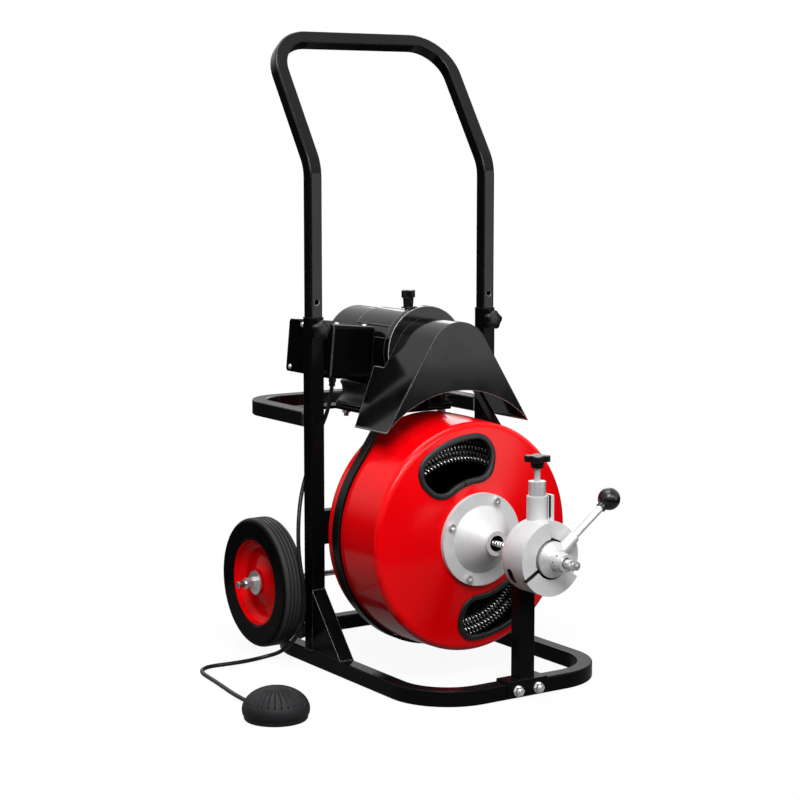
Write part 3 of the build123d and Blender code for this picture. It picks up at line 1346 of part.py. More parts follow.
def make_parts():
    """Every piece by the name of its node."""
    left_pin, right_pin = roller_places()
    parts = {
        "base_loop": base_loop(),
        "rear_bar": rear_bar(),
        "axle": axle(),
        "axle_washers": axle_washers(),
        "axle_nuts": axle_nuts(),
        "handle": handle(),
        "bearing_beam": bearing_beam(),
        "ball_bearings": ball_bearings(),
        "drum_shaft": drum_shaft(),
        "drum_rear_shell": drum_rear_shell(),
        "drum_front_shell": drum_front_shell(),
        "window_trims": window_trims(),
        "hub_cone": hub_cone(),
        "hub_screws": hub_screws(),
        "cable_coil": cable_coil(),
        "cable_lead": cable_lead(),
        "cable_tip": cable_tip(),
        "motor_plate": motor_plate(),
        "frame_bolts": frame_bolts(),
        "motor_housing": motor_housing(),
        "motor_cover": motor_cover(),
        "stator": stator(),
        "rotor": rotor(),
        "fan": fan(),
        "drive_pulley": drive_pulley(),
        "drive_belt": drive_belt(),
        "belt_guard": belt_guard(),
        "guard_collar": guard_collar(),
        "guard_knob": guard_knob(),
        "control_box": control_box(),
        "box_lid": box_lid(),
        "box_screws": box_screws(),
        "box_glands": box_glands(),
        "rocker_switch": rocker_switch(),
        "front_post": front_post(),
        "feed_head": feed_head(),
        "nose_bushing": nose_bushing(),
        "lever": lever(),
        "lever_ball": lever_ball(),
        "plunger_sleeve": plunger_sleeve(),
        "roller_yoke": roller_yoke(),
        "pressure_screw": pressure_screw(),
        "pressure_knob": pressure_knob(),
        "top_roller": roller(TOP_ROLLER_LENGTH, TOP_PIN, BOSS_AT, 0, ROLLER_Z),
        "left_roller": roller(ROLLER_LENGTH, LOWER_PIN, ROLLER_MIDDLE, *left_pin),
        "right_roller": roller(ROLLER_LENGTH, LOWER_PIN, ROLLER_MIDDLE, *right_pin),
        "pedal_base": pedal_base(),
        "pedal_dome": pedal_dome(),
        "pedal_hose": pedal_hose(),
    }
    for name, side in LEFT_RIGHT:
        parts[f"{name}_upright"] = upright(side)
        parts[f"{name}_gusset"] = gusset(side)
        parts[f"{name}_tyre"] = tyre(side)
        parts[f"{name}_rim"] = rim(side)
        parts[f"{name}_clamp_knob"] = clamp_knob(side)
    return parts


os.makedirs("parts", exist_ok=True)
for node, shape in make_parts().items():
    export_step(shape, f"parts/{node}.step")
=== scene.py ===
import json
import math

import bpy
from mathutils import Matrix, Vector


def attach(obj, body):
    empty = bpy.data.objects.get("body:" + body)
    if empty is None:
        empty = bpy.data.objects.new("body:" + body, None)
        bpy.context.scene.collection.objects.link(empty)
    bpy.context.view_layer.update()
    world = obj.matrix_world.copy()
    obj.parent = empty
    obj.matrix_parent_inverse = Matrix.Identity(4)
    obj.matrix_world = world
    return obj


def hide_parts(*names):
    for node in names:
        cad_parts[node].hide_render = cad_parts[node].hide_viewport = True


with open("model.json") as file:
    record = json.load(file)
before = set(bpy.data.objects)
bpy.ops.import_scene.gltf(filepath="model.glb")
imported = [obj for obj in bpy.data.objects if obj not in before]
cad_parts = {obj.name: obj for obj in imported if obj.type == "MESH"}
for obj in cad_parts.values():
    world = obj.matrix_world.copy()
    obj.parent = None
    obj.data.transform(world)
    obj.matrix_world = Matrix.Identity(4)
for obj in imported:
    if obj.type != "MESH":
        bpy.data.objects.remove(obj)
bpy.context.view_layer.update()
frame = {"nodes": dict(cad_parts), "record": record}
nodes = frame["nodes"]

# Places and sizes that the dressing shares with the solids, in metres and degrees
TUBE = 0.025
HALF = TUBE / 2
UPRIGHT_X = 0.167
UPRIGHT_Y = 0.1165
AXIS_Z = 0.223
CLAMP_Z = 0.542
AXLE_Y = UPRIGHT_Y + 0.095
AXLE_Z = 0.122
TREAD_START_R = 0.1024
DRUM_MIDDLE = 0.140
HUB_MIDDLE = 0.205
HEAD_MIDDLE = 0.375
HUB_BORE_R = 0.060
CABLE_R = 0.005
WIRE_R = 0.0017
WIRE_PITCH = 0.0066
CORE_R = CABLE_R - 1.5 * WIRE_R
COIL_INNER_R = 0.126
COIL_LAYERS = 4
COIL_TURNS = 4
COIL_FRONT = 0.170
COIL_DROP = 0.012
LEAD_REACH = 0.12485
LEAD_DROP = 0.152
LEAD_BEND = 0.060
LEAD_END = 0.437
WINDOW_ANGLE = 107.0
WINDOW_SPAN = 58.0
WINDOW_OUTER_R = 0.157
WINDOW_INNER_R = 0.096
WINDOW_CORNER = 0.027
PEDAL_X = -0.376
PEDAL_Y = UPRIGHT_Y - 0.236
SPOUT_Z = 0.0052
HOSE_R = 0.0033
HOSE_ROUTE = [
    (-0.12271, 0.1325, 0.45346),
    (-0.12635, 0.1325, 0.41563),
    (-0.146, 0.1425, 0.364),
    (-0.160, 0.1435, 0.322),
    (-0.1805, 0.1365, 0.274),
    (-0.194, 0.1225, 0.228),
    (-0.199, 0.1125, 0.180),
    (-0.197, 0.0985, 0.128),
    (-0.194, 0.1035, 0.080),
    (-0.197, 0.1265, 0.042),
    (-0.204, 0.1605, 0.014),
    (-0.228, 0.1825, 0.0034),
    (-0.270, 0.1755, 0.0034),
    (-0.351, 0.1845, 0.0034),
    (-0.361, 0.0865, 0.0034),
    (-0.376, -0.00075, SPOUT_Z),
    (-0.376, -0.05875, SPOUT_Z),
]


def forward(distance):
    """The y of a place this far in front of the uprights."""
    return UPRIGHT_Y - distance


# Shader helpers

def add(tree, kind, values=None, **settings):
    """Add a shader node with some of its settings and input values."""
    node = tree.nodes.new("ShaderNode" + kind)
    for name, value in settings.items():
        setattr(node, name, value)
    for name, value in (values or {}).items():
        node.inputs[name].default_value = value
    return node


def join(tree, *pairs):
    """Link outputs to inputs."""
    for source, target in pairs:
        tree.links.new(source, target)


def between(tree, low, high, start=0.0, end=1.0, **settings):
    """A node that maps low to high onto start to end."""
    values = {"From Min": low, "From Max": high, "To Min": start, "To Max": end}
    return add(tree, "MapRange", values, **settings)


def over_tint(tree, factor, colour):
    """Lay a colour over a material's own tint, as much as factor says."""
    mix = add(tree, "Mix", data_type="RGBA")
    mix.inputs["B"].default_value = (*colour, 1.0)
    join(
        tree,
        (factor, mix.inputs["Factor"]),
        (tree.nodes["tint"].outputs["Color"], mix.inputs["A"]),
        (mix.outputs["Result"], tree.nodes["Principled BSDF"].inputs["Base Color"]),
    )


def radius_from(tree, middle, across):
    """The offset from a point, and its length in the plane that across keeps."""
    coords = add(tree, "TexCoord")
    offset = add(tree, "VectorMath", {1: middle}, operation="SUBTRACT")
    flat = add(tree, "VectorMath", {1: across}, operation="MULTIPLY")
    reach = add(tree, "VectorMath", operation="LENGTH")
    join(
        tree,
        (coords.outputs["Object"], offset.inputs[0]),
        (offset.outputs["Vector"], flat.inputs[0]),
        (flat.outputs["Vector"], reach.inputs[0]),
    )
    return coords, offset, reach


def painted_edge_highlight(tree, bevel, shade):
    """Paint a highlight along sharp corners, blending to the given grey where the rounded normal
    leaves the plain one.
    """
    plain = add(tree, "NewGeometry")
    dot = add(tree, "VectorMath", operation="DOT_PRODUCT")
    flat, bent = 0.97, 0.84
    span = between(tree, flat, bent)
    join(
        tree,
        (bevel.outputs["Normal"], dot.inputs[0]),
        (plain.outputs["Normal"], dot.inputs[1]),
        (dot.outputs["Value"], span.inputs["Value"]),
    )
    over_tint(tree, span.outputs["Result"], (shade, shade, shade * 1.03))


def surface(
    name, dark, light, roughness, drift, grain, metallic=0.0, specular=0.5, edge=0.0, edge_highlight=0.0
):
    """A surface that drifts between two colours and two roughnesses, with a fine grain.

    drift is the scale of the patches, grain the scale, strength and depth of the bump, edge the
    radius to which sharp corners look rounded off, and the last argument the grey of a highlight
    painted along them.
    """
    material = bpy.data.materials.new(name)
    material.use_nodes = True
    tree = material.node_tree
    bsdf = tree.nodes["Principled BSDF"]
    bsdf.inputs["Metallic"].default_value = metallic
    bsdf.inputs["Specular IOR Level"].default_value = specular
    coords = add(tree, "TexCoord")
    patches = add(tree, "TexNoise", {"Scale": drift, "Detail": 5.0})
    spread = add(tree, "TexNoise", {"Scale": drift * 2.7, "Detail": 4.0})
    fine = add(tree, "TexNoise", {"Scale": grain[0], "Detail": 2.0})
    for pattern in (patches, spread, fine):
        join(tree, (coords.outputs["Object"], pattern.inputs["Vector"]))
    tint = add(tree, "ValToRGB", name="tint")
    for stop, place, colour in zip(tint.color_ramp.elements, (0.32, 0.68), (dark, light)):
        stop.position = place
        stop.color = (*colour, 1.0)
    span = between(tree, 0.3, 0.7, *roughness)
    bump = add(tree, "Bump", {"Strength": grain[1], "Distance": grain[2]})
    join(
        tree,
        (patches.outputs["Fac"], tint.inputs["Fac"]),
        (tint.outputs["Color"], bsdf.inputs["Base Color"]),
        (spread.outputs["Fac"], span.inputs["Value"]),
        (span.outputs["Result"], bsdf.inputs["Roughness"]),
        (fine.outputs["Fac"], bump.inputs["Height"]),
        (bump.outputs["Normal"], bsdf.inputs["Normal"]),
    )
    if edge > 0:
        bevel = add(tree, "Bevel", {"Radius": edge}, samples=6)
        join(tree, (bevel.outputs["Normal"], bump.inputs["Normal"]))
        # A highlight painted along sharp corners, lighter than the paint.
        if edge_highlight > 0:
            painted_edge_highlight(tree, bevel, edge_highlight)
    return material


def paint_inside_shade(material, middle, inside, core=0.0):
    """Paint shade on the faces of a hollow part that look towards its middle, or that lie
    within core of its axis, in the colour given as inside."""
    tree = material.node_tree
    coords, offset, reach = radius_from(tree, (0.0, forward(middle), AXIS_Z), (1.0, 0.0, 1.0))
    dot = add(tree, "VectorMath", operation="DOT_PRODUCT")
    turned_in = add(tree, "Math", {1: 0.0}, operation="LESS_THAN")
    near = add(tree, "Math", {1: core}, operation="LESS_THAN")
    painted_shade_mask = add(tree, "Math", operation="MAXIMUM")
    join(
        tree,
        (coords.outputs["Normal"], dot.inputs[0]),
        (offset.outputs["Vector"], dot.inputs[1]),
        (dot.outputs["Value"], turned_in.inputs[0]),
        (reach.outputs["Value"], near.inputs[0]),
        (turned_in.outputs["Value"], painted_shade_mask.inputs[0]),
        (near.outputs["Value"], painted_shade_mask.inputs[1]),
    )
    over_tint(tree, painted_shade_mask.outputs["Value"], inside)


def grey_tread(material, start, shade):
    """Give the running face of a tyre the duller, paler grey of ribbed rubber."""
    tree = material.node_tree
    reach = radius_from(tree, (0.0, AXLE_Y, AXLE_Z), (0.0, 1.0, 1.0))[2]
    blend = 0.0025
    span = between(tree, start, start + blend)
    join(tree, (reach.outputs["Value"], span.inputs["Value"]))
    over_tint(tree, span.outputs["Result"], (shade, shade, shade * 1.04))


# Materials

FRAME_COAT = {
    "dark": (0.0022, 0.0022, 0.0025), "light": (0.0042, 0.0041, 0.0044),
    "roughness": (0.12, 0.20), "drift": 14.0, "grain": (650.0, 0.035, 0.0004),
    "specular": 0.055,
}
DEEP_COAT = {
    "dark": (0.0020, 0.0020, 0.0023), "light": (0.0038, 0.0037, 0.0040),
    "roughness": (0.09, 0.16), "drift": 11.0, "grain": (520.0, 0.025, 0.0004),
    "edge": 0.0022,
}
DRUM_RED = {
    "dark": (0.80, 0.0004, 0.0020), "light": (0.92, 0.0010, 0.0040),
    "roughness": (0.12, 0.20), "drift": 6.0, "grain": (480.0, 0.020, 0.0004),
    "specular": 0.18,
}
# Painted shade for the drum's inner faces.
DRUM_INSIDE_SHADE = (0.004, 0.003, 0.003)

# In the four coats below, the last value is the grey of a highlight painted along sharp corners.
black_paint = surface("gloss_black_coat", **FRAME_COAT, edge=0.0013, edge_highlight=0.020)
fold_paint = surface("folded_sheet_black", **FRAME_COAT, edge=0.0014, edge_highlight=0.42)
cover_paint = surface("deep_gloss_black", **DEEP_COAT, specular=0.27, edge_highlight=0.72)
handle_paint = surface("handle_gloss_black", **DEEP_COAT, specular=0.20, edge_highlight=0.55)
drum_paint = surface("drum_red_paint", **DRUM_RED)
face_paint = surface("drum_face_red_paint", **DRUM_RED)
weld_paint = surface(
    "weld_black_coat", (0.0030, 0.0030, 0.0033), (0.0060, 0.0058, 0.0062),
    roughness=(0.10, 0.18), drift=40.0, grain=(900.0, 0.05, 0.0003),
    specular=0.55,
)
# Its last value is the grey of a highlight painted along sharp corners.
bar_paint = surface(
    "rear_bar_gloss_black", (0.0024, 0.0023, 0.0024), (0.0044, 0.0042, 0.0042),
    roughness=(0.10, 0.18), drift=11.0, grain=(520.0, 0.025, 0.0004),
    specular=0.5, edge=0.0022, edge_highlight=0.72,
)
# Its last value is the grey of a highlight painted along sharp corners.
box_paint = surface(
    "box_gloss_black", (0.0012, 0.0012, 0.0015), (0.0026, 0.0025, 0.0028),
    roughness=(0.10, 0.18), drift=12.0, grain=(560.0, 0.03, 0.0004),
    specular=0.05, edge=0.0015, edge_highlight=0.22,
)
red_paint = surface(
    "gloss_red_paint", (0.74, 0.0004, 0.0020), (0.86, 0.0010, 0.0040),
    roughness=(0.12, 0.20), drift=9.0, grain=(520.0, 0.020, 0.0004),
    specular=0.10, edge=0.0012,
)
cast_grey = surface(
    "satin_cast_grey", (0.62, 0.62, 0.625), (0.70, 0.70, 0.71),
    roughness=(0.36, 0.48), drift=26.0, grain=(700.0, 0.03, 0.0003),
    metallic=0.08, specular=0.3, edge=0.0009,
)
head_grey = surface(
    "machined_cast_grey", (0.60, 0.60, 0.605), (0.69, 0.69, 0.70),
    roughness=(0.34, 0.46), drift=30.0, grain=(700.0, 0.03, 0.0003),
    metallic=0.08, specular=0.3, edge=0.0009,
)
satin_plating = surface(
    "satin_plating", (0.66, 0.66, 0.675), (0.72, 0.72, 0.73),
    roughness=(0.25, 0.29), drift=30.0, grain=(400.0, 0.004, 0.0002),
    metallic=0.40,
)
foot_grey = surface(
    "cast_motor_foot", (0.010, 0.010, 0.0108), (0.017, 0.017, 0.018),
    roughness=(0.32, 0.46), drift=40.0, grain=(900.0, 0.15, 0.0004),
    specular=0.35, edge=0.0012,
)
zinc = surface(
    "zinc_plating", (0.70, 0.71, 0.72), (0.80, 0.80, 0.79),
    roughness=(0.18, 0.26), drift=60.0, grain=(500.0, 0.010, 0.0002),
    metallic=0.80,
)
steel = surface(
    "machined_steel", (0.42, 0.42, 0.43), (0.58, 0.58, 0.59),
    roughness=(0.20, 0.34), drift=80.0, grain=(1400.0, 0.05, 0.0002),
    metallic=1.0,
)
cable_wire = surface(
    "cable_wire", (0.84, 0.84, 0.84), (0.96, 0.96, 0.95),
    roughness=(0.12, 0.22), drift=140.0, grain=(1200.0, 0.02, 0.0002),
    metallic=0.90,
)
# Painted shade: a darker copy of the cable's steel, for the turns that lie back in the valleys.
shaded_wire = surface(
    "shaded_cable_wire", (0.30, 0.30, 0.30), (0.52, 0.52, 0.51),
    roughness=(0.22, 0.34), drift=140.0, grain=(1200.0, 0.02, 0.0002),
    metallic=0.90,
)
# Painted shade: near black for the hollow inside the wound wire and for the turns deep in the
# bundle.
cable_shade = surface(
    "shaded_cable_core", (0.003, 0.003, 0.003), (0.008, 0.0075, 0.007),
    roughness=(0.5, 0.8), drift=120.0, grain=(900.0, 0.2, 0.0004),
    specular=0.15,
)
winding = surface(
    "winding", (0.36, 0.17, 0.07), (0.56, 0.30, 0.14),
    roughness=(0.30, 0.45), drift=160.0, grain=(1200.0, 0.3, 0.0005),
    metallic=0.8,
)
black_plastic = surface(
    "black_plastic", (0.0040, 0.0040, 0.0046), (0.0072, 0.0072, 0.0078),
    roughness=(0.22, 0.32), drift=40.0, grain=(1600.0, 0.08, 0.0003),
    specular=0.30, edge=0.0009,
)
ball_plastic = surface(
    "ball_plastic", (0.0040, 0.0040, 0.0044), (0.0066, 0.0066, 0.0070),
    roughness=(0.18, 0.26), drift=30.0, grain=(700.0, 0.02, 0.0003),
    specular=0.40,
)
trim_rubber = surface(
    "trim_rubber", (0.0055, 0.0058, 0.0066), (0.0105, 0.0110, 0.0120),
    roughness=(0.32, 0.44), drift=70.0, grain=(900.0, 0.08, 0.0004),
    specular=0.36,
)
# Near black, for the ring in the gap round the lever's hub and for the nose's set screw.
near_black_finish = surface(
    "near_black_finish", (0.0020, 0.0020, 0.0022), (0.0040, 0.0040, 0.0042),
    roughness=(0.4, 0.6), drift=60.0, grain=(900.0, 0.1, 0.0003),
    specular=0.05,
)
# Its last value is the grey of a highlight painted along sharp corners.
belt_rubber = surface(
    "belt_rubber", (0.0020, 0.0020, 0.0021), (0.0042, 0.0042, 0.0043),
    roughness=(0.22, 0.32), drift=90.0, grain=(900.0, 0.08, 0.0004),
    specular=0.12, edge=0.0012, edge_highlight=0.05,
)
pedal_rubber = surface(
    "pedal_rubber", (0.0085, 0.0085, 0.0098), (0.0130, 0.0130, 0.0150),
    roughness=(0.48, 0.62), drift=50.0, grain=(900.0, 0.10, 0.0003),
    specular=0.18,
)
hose_rubber = surface(
    "hose_rubber", (0.0045, 0.0045, 0.0050), (0.0090, 0.0090, 0.0096),
    roughness=(0.24, 0.36), drift=60.0, grain=(1200.0, 0.10, 0.0003),
    specular=0.25,
)
tyre_rubber = surface(
    "tyre_rubber", (0.0030, 0.0030, 0.0033), (0.0056, 0.0056, 0.0059),
    roughness=(0.20, 0.30), drift=30.0, grain=(700.0, 0.06, 0.0004),
    specular=0.025,
)
# Painted shade on the inner faces of the drum, the hub and the head, and on the drum's face within
# the hub's bore.
paint_inside_shade(drum_paint, DRUM_MIDDLE, DRUM_INSIDE_SHADE)
paint_inside_shade(face_paint, DRUM_MIDDLE, DRUM_INSIDE_SHADE, HUB_BORE_R)
paint_inside_shade(cast_grey, HUB_MIDDLE, (0.02, 0.019, 0.019))
paint_inside_shade(head_grey, HEAD_MIDDLE, (0.03, 0.028, 0.028))
grey_tread(tyre_rubber, TREAD_START_R, shade=0.046)

BY_SLOT = {
    "black_paint": black_paint,
    "red_paint": red_paint,
    "cast_grey": cast_grey,
    "chrome": satin_plating,
    "zinc": zinc,
    "steel": steel,
    "winding": winding,
    "black_plastic": black_plastic,
    "trim_rubber": trim_rubber,
    "pedal_rubber": pedal_rubber,
    "tyre": tyre_rubber,
}
BY_NODE = {
    "drum_rear_shell": drum_paint,
    "drum_front_shell": face_paint,
    "feed_head": head_grey,
    "cable_tip": zinc,
    "left_gusset": fold_paint,
    "right_gusset": fold_paint,
    "lever_ball": ball_plastic,
    "drive_belt": belt_rubber,
    "belt_guard": cover_paint,
    "guard_collar": cover_paint,
    "motor_cover": cover_paint,
    "motor_housing": cover_paint,
    "control_box": box_paint,
    "box_lid": box_paint,
    "handle": handle_paint,
    "rear_bar": bar_paint,
}
for entry in frame["record"]["subparts"]:
    finish = BY_NODE.get(entry["node"], BY_SLOT[entry["material_slot"]])
    for place in nodes[entry["node"]].material_slots:
        place.material = finish


# Mesh helpers

def mesh_piece(name, points, faces, material, body, slot):
    """A smooth mesh that rides on a body. The slot argument is not used."""
    mesh = bpy.data.meshes.new(name)
    mesh.from_pydata(points, [], faces)
    mesh.update()
    mesh.polygons.foreach_set("use_smooth", [True] * len(mesh.polygons))
    mesh.materials.append(material)
    piece = bpy.data.objects.new(name, mesh)
    bpy.context.scene.collection.objects.link(piece)
    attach(piece, body)
    return piece


def skin(points, faces, rings, closed=False):
    """Add a tube through equal rings of points, with flat ends unless it closes on itself."""
    count = len(rings[0])
    start = len(points)
    for ring in rings:
        points.extend(ring)
    last = len(rings) if closed else len(rings) - 1
    for i in range(last):
        a = start + i * count
        b = start + (i + 1) % len(rings) * count
        for j in range(count):
            k = (j + 1) % count
            faces.append((a + j, a + k, b + k, b + j))
    if not closed:
        faces.append(tuple(start + j for j in reversed(range(count))))
        faces.append(tuple(start + (len(rings) - 1) * count + j for j in range(count)))


def around(centre, one, other, radius, count):
    """A ring of points in the plane of two unit vectors."""
    turns = [2 * math.pi * j / count for j in range(count)]
    return [centre + one * (radius * math.cos(t)) + other * (radius * math.sin(t)) for t in turns]


def lathe(points, faces, base, axis, profile, count, lobes=0, depth=0.0, closed=False):
    """Turn a profile of (distance along axis, radius, share of the lobes) round an axis."""
    axis = Vector(axis).normalized()
    one = axis.orthogonal().normalized()
    other = axis.cross(one)
    rings = []
    for along, radius, share in profile:
        ring = []
        for j in range(count):
            turn = 2 * math.pi * j / count
            reach = radius * (1 + depth * share * math.cos(lobes * turn))
            spoke = one * (reach * math.cos(turn)) + other * (reach * math.sin(turn))
            ring.append(Vector(base) + axis * along + spoke)
        rings.append(ring)
    skin(points, faces, rings, closed)


def round_profile(pairs):
    """A profile for lathe without lobes."""
    return [(along, radius, 0.0) for along, radius in pairs]


# The cable

def wound_wire(points, faces, at, length, closed, per_turn=12, sides=7):
    """Wind a wire round a path, as a drain cable is wound. at(s) gives a place and three axes."""
    steps = round(length / WIRE_PITCH) * per_turn
    rings = []
    for i in range(steps if closed else steps + 1):
        centre, along, out, side = at(length * i / steps)
        turn = 2 * math.pi * i / per_turn
        spoke = out * math.cos(turn) + side * math.sin(turn)
        rings.append(around(centre + spoke * (CABLE_R - WIRE_R), spoke, along, WIRE_R, sides))
    skin(points, faces, rings, closed)


def core_tube(points, faces, at, length, closed, step, radius, sides=8):
    """A plain tube along a path, inside the wound wire or in place of it."""
    steps = round(length / step)
    rings = []
    for i in range(steps if closed else steps + 1):
        centre, _, out, side = at(length * i / steps)
        rings.append(around(centre, out, side, radius, sides))
    skin(points, faces, rings, closed)


def stored_turn(layer, row):
    """The path of one stored turn. Every other layer lies in the valleys of its neighbours."""
    radius = COIL_INNER_R + CABLE_R * (1 + math.sqrt(3) * layer)
    back = CABLE_R * (2 * row + 1) + (CABLE_R if layer % 2 else 0.0)
    phase = 1.7 * layer + 0.9 * row
    out_sway, back_sway = 0.0006, 0.0007

    def at(s):
        turn = s / radius
        out = Vector((math.cos(turn), 0, math.sin(turn)))
        along = Vector((-math.sin(turn), 0, math.cos(turn)))
        reach = radius + out_sway * math.sin(3 * turn + phase)
        y = forward(COIL_FRONT - back) + back_sway * (1 + math.sin(2 * turn + phase))
        return Vector((0, y, AXIS_Z - COIL_DROP)) + out * reach, along, out, Vector((0, 1, 0))

    return at, 2 * math.pi * radius


def stored_cable():
    """The bundle in the drum: wound wire in its front row, plain tubes behind. The wire of the
    turns in the valleys is a darker copy of the steel, and the cores and plain tubes are near
    black, both painted shade.
    """
    wires, valleys, cores = ([], []), ([], []), ([], [])
    for layer in range(COIL_LAYERS):
        for row in range(COIL_TURNS - 1 if layer % 2 else COIL_TURNS):
            at, length = stored_turn(layer, row)
            if row == 0:
                wound_wire(*(valleys if layer % 2 else wires), at, length, True)
                core_tube(*cores, at, length, True, step=0.008, radius=CORE_R)
            else:
                core_tube(*cores, at, length, True, step=0.010, radius=CABLE_R * 0.96)
    wire = mesh_piece("stored_cable", *wires, cable_wire, "drum", "steel")
    mesh_piece("stored_valleys", *valleys, shaded_wire, "drum", "steel")
    mesh_piece("stored_shade_core", *cores, cable_shade, "drum", "steel")
    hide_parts("cable_coil")


def lead_path():
    """The path from the inside of the bundle to the axis and forward to the coupling."""
    cross = LEAD_REACH - LEAD_BEND
    arc = LEAD_BEND * math.pi / 2
    run = LEAD_END - LEAD_DROP - LEAD_BEND
    up = Vector((0, 0, 1))

    def at(s):
        if s < cross:
            turn, x, ahead = 0.0, LEAD_REACH - s, LEAD_DROP
        elif s < cross + arc:
            turn = (s - cross) / LEAD_BEND
            x = LEAD_BEND * (1 - math.sin(turn))
            ahead = LEAD_DROP + LEAD_BEND * (1 - math.cos(turn))
        else:
            turn, x, ahead = math.pi / 2, 0.0, LEAD_DROP + LEAD_BEND + s - cross - arc
        along = Vector((-math.cos(turn), -math.sin(turn), 0))
        return Vector((x, forward(ahead), AXIS_Z)), along, up, along.cross(up)

    return at, cross + arc + run


def cable_spring():
    """The lead, wound like the rest of the cable, round a near-black core of painted shade."""
    wires, cores = ([], []), ([], [])
    at, length = lead_path()
    wound_wire(*wires, at, length, False, per_turn=14, sides=8)
    core_tube(*cores, at, length, False, step=0.005, radius=CORE_R)
    spring = mesh_piece("cable_spring", *wires, cable_wire, "drum", "steel")
    mesh_piece("spring_shade_core", *cores, cable_shade, "drum", "steel")
    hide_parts("cable_lead")


# Rubber edging of the drum's windows

def polar(radius, turn):
    """A flat point at a distance and angle from the axis."""
    return Vector((math.cos(turn), math.sin(turn))) * radius


def swing(centre, radius, start, end, count):
    """Points of an arc without its end, each with its outward direction."""
    turns = [start + (end - start) * i / count for i in range(count)]
    return [(centre + polar(radius, t), polar(1.0, t)) for t in turns]


def kidney():
    """Points and outward directions round a window, starting in the middle of its inner side."""
    half, quarter = math.radians(WINDOW_SPAN / 2), math.pi / 2
    outer, inner, corner = WINDOW_OUTER_R, WINDOW_INNER_R, WINDOW_CORNER
    high = half - math.asin(corner / (outer - corner))
    low = half - math.asin(corner / (inner + corner))
    origin = Vector((0.0, 0.0))
    loop = [(point, -way) for point, way in swing(origin, inner, 0.0, -low, 12)]
    loop += swing(polar(inner + corner, -low), corner, math.pi - low, 3 * quarter - half, 26)
    loop += swing(polar(outer - corner, -high), corner, -half - quarter, -high, 26)
    loop += swing(origin, outer, -high, high, 40)
    loop += swing(polar(outer - corner, high), corner, high, half + quarter, 26)
    loop += swing(polar(inner + corner, low), corner, half + quarter, math.pi + low, 26)
    loop += [(point, -way) for point, way in swing(origin, inner, low, 0.0, 12)]
    return loop


def face_distance(radius):
    """How far forward the drum's sloping face is at this distance from its axis."""
    hub_face, hub_r, slope = 0.220, 0.073, 15.0 / 108.0
    return hub_face - (radius - hub_r) * slope


def window_edging():
    """A moulded strip round each window, gripping the sheet, with its ends butted together."""
    section = [
        (-0.0010, -0.0044), (-0.0010, 0.0022), (-0.0004, 0.0029), (0.0008, 0.0032),
        (0.0040, 0.0033), (0.0064, 0.0031), (0.0074, 0.0025), (0.0079, 0.0012), (0.0079, -0.0044),
    ]
    half_gap = Vector((0.0, 0.0005))
    crease_depth, crease_from, crease_to = 0.00018, 96, 150
    points, faces = [], []
    for turn in (WINDOW_ANGLE, WINDOW_ANGLE + 180.0):
        tilt = math.radians(turn)
        loop = kidney()
        loop.append((loop[0][0] + half_gap, loop[0][1]))
        loop[0] = (loop[0][0] - half_gap, loop[0][1])
        rings = []
        for i, (point, way) in enumerate(loop):
            crease = crease_depth if i % 2 and crease_from < i < crease_to else 0.0
            ring = []
            for across, height in section:
                flat = point + way * across
                reach = face_distance(flat.length) + height - (crease if height > 0 else 0.0)
                x = flat.x * math.cos(tilt) - flat.y * math.sin(tilt)
                z = flat.x * math.sin(tilt) + flat.y * math.cos(tilt)
                ring.append(Vector((x, forward(reach), AXIS_Z + z)))
            rings.append(ring)
        skin(points, faces, rings)
    piece = mesh_piece("window_edging", points, faces, trim_rubber, "drum", "trim_rubber")
    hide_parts("window_trims")


# Weld beads of the frame

def weld_run(points, faces, start, end, radius):
    """A run of weld between two points, in small overlapping scales."""
    scale_length, step_length = 0.0026, 0.0007
    root, swell, ripple, ripple_rate = 0.74, 0.30, 0.08, 1900
    end_size, taper = 0.35, 0.003
    start, end = Vector(start), Vector(end)
    along = (end - start).normalized()
    length = (end - start).length
    one = along.orthogonal().normalized()
    other = along.cross(one)
    steps = max(6, round(length / step_length))
    rings = []
    for i in range(steps + 1):
        s = length * i / steps
        scale = (s % scale_length) / scale_length
        size = radius * (root + swell * scale + ripple * math.sin(ripple_rate * s))
        size *= min(1.0, end_size + min(s, length - s) / taper)
        rings.append(around(start + along * s, one, other, size, count=9))
    skin(points, faces, rings)


def weld_beads():
    """The welds of both uprights. Those beside the handle's legs stay out of the tubes' bores."""
    wide, middling, plain, narrow = 0.0024, 0.0020, 0.0018, 0.0015
    points, faces = [], []
    for side in (-1, 1):
        inner, outer = side * (UPRIGHT_X - HALF), side * (UPRIGHT_X + HALF)
        front, back, toe = forward(HALF), forward(-HALF), forward(0.097)
        inner_off, outer_off = inner - side * 0.0009, outer + side * 0.0006
        back_off = back + 0.0009
        near, far = forward(0.010), forward(-0.010)
        runs = [
            ((inner, front, 0.123), (outer, front, 0.123), wide),
            ((inner, toe, TUBE), (outer, toe, TUBE), wide),
            ((inner, front, TUBE), (inner, back, TUBE), plain),
            ((outer, front, TUBE), (outer, back, TUBE), plain),
            ((inner, back, TUBE), (outer, back, TUBE), middling),
            ((outer, front, 0.036), (outer, front, 0.062), narrow),
            ((outer, back, 0.110), (outer, back, 0.134), plain),
            ((inner, back, 0.1345), (outer, back, 0.1345), plain),
            ((outer_off, back_off, 0.386), (outer_off, back_off, 0.409), plain),
            ((inner, back_off, 0.410), (outer, back_off, 0.410), plain),
            ((inner_off, near, 0.250), (inner_off, far, 0.250), plain),
            ((inner_off, near, 0.196), (inner_off, far, 0.196), plain),
        ]
        for start, end, radius in runs:
            weld_run(points, faces, start, end, radius)
    mesh_piece("weld_beads", points, faces, weld_paint, "frame", "black_paint")


# Knobs, screws, the motor's feet and the nose

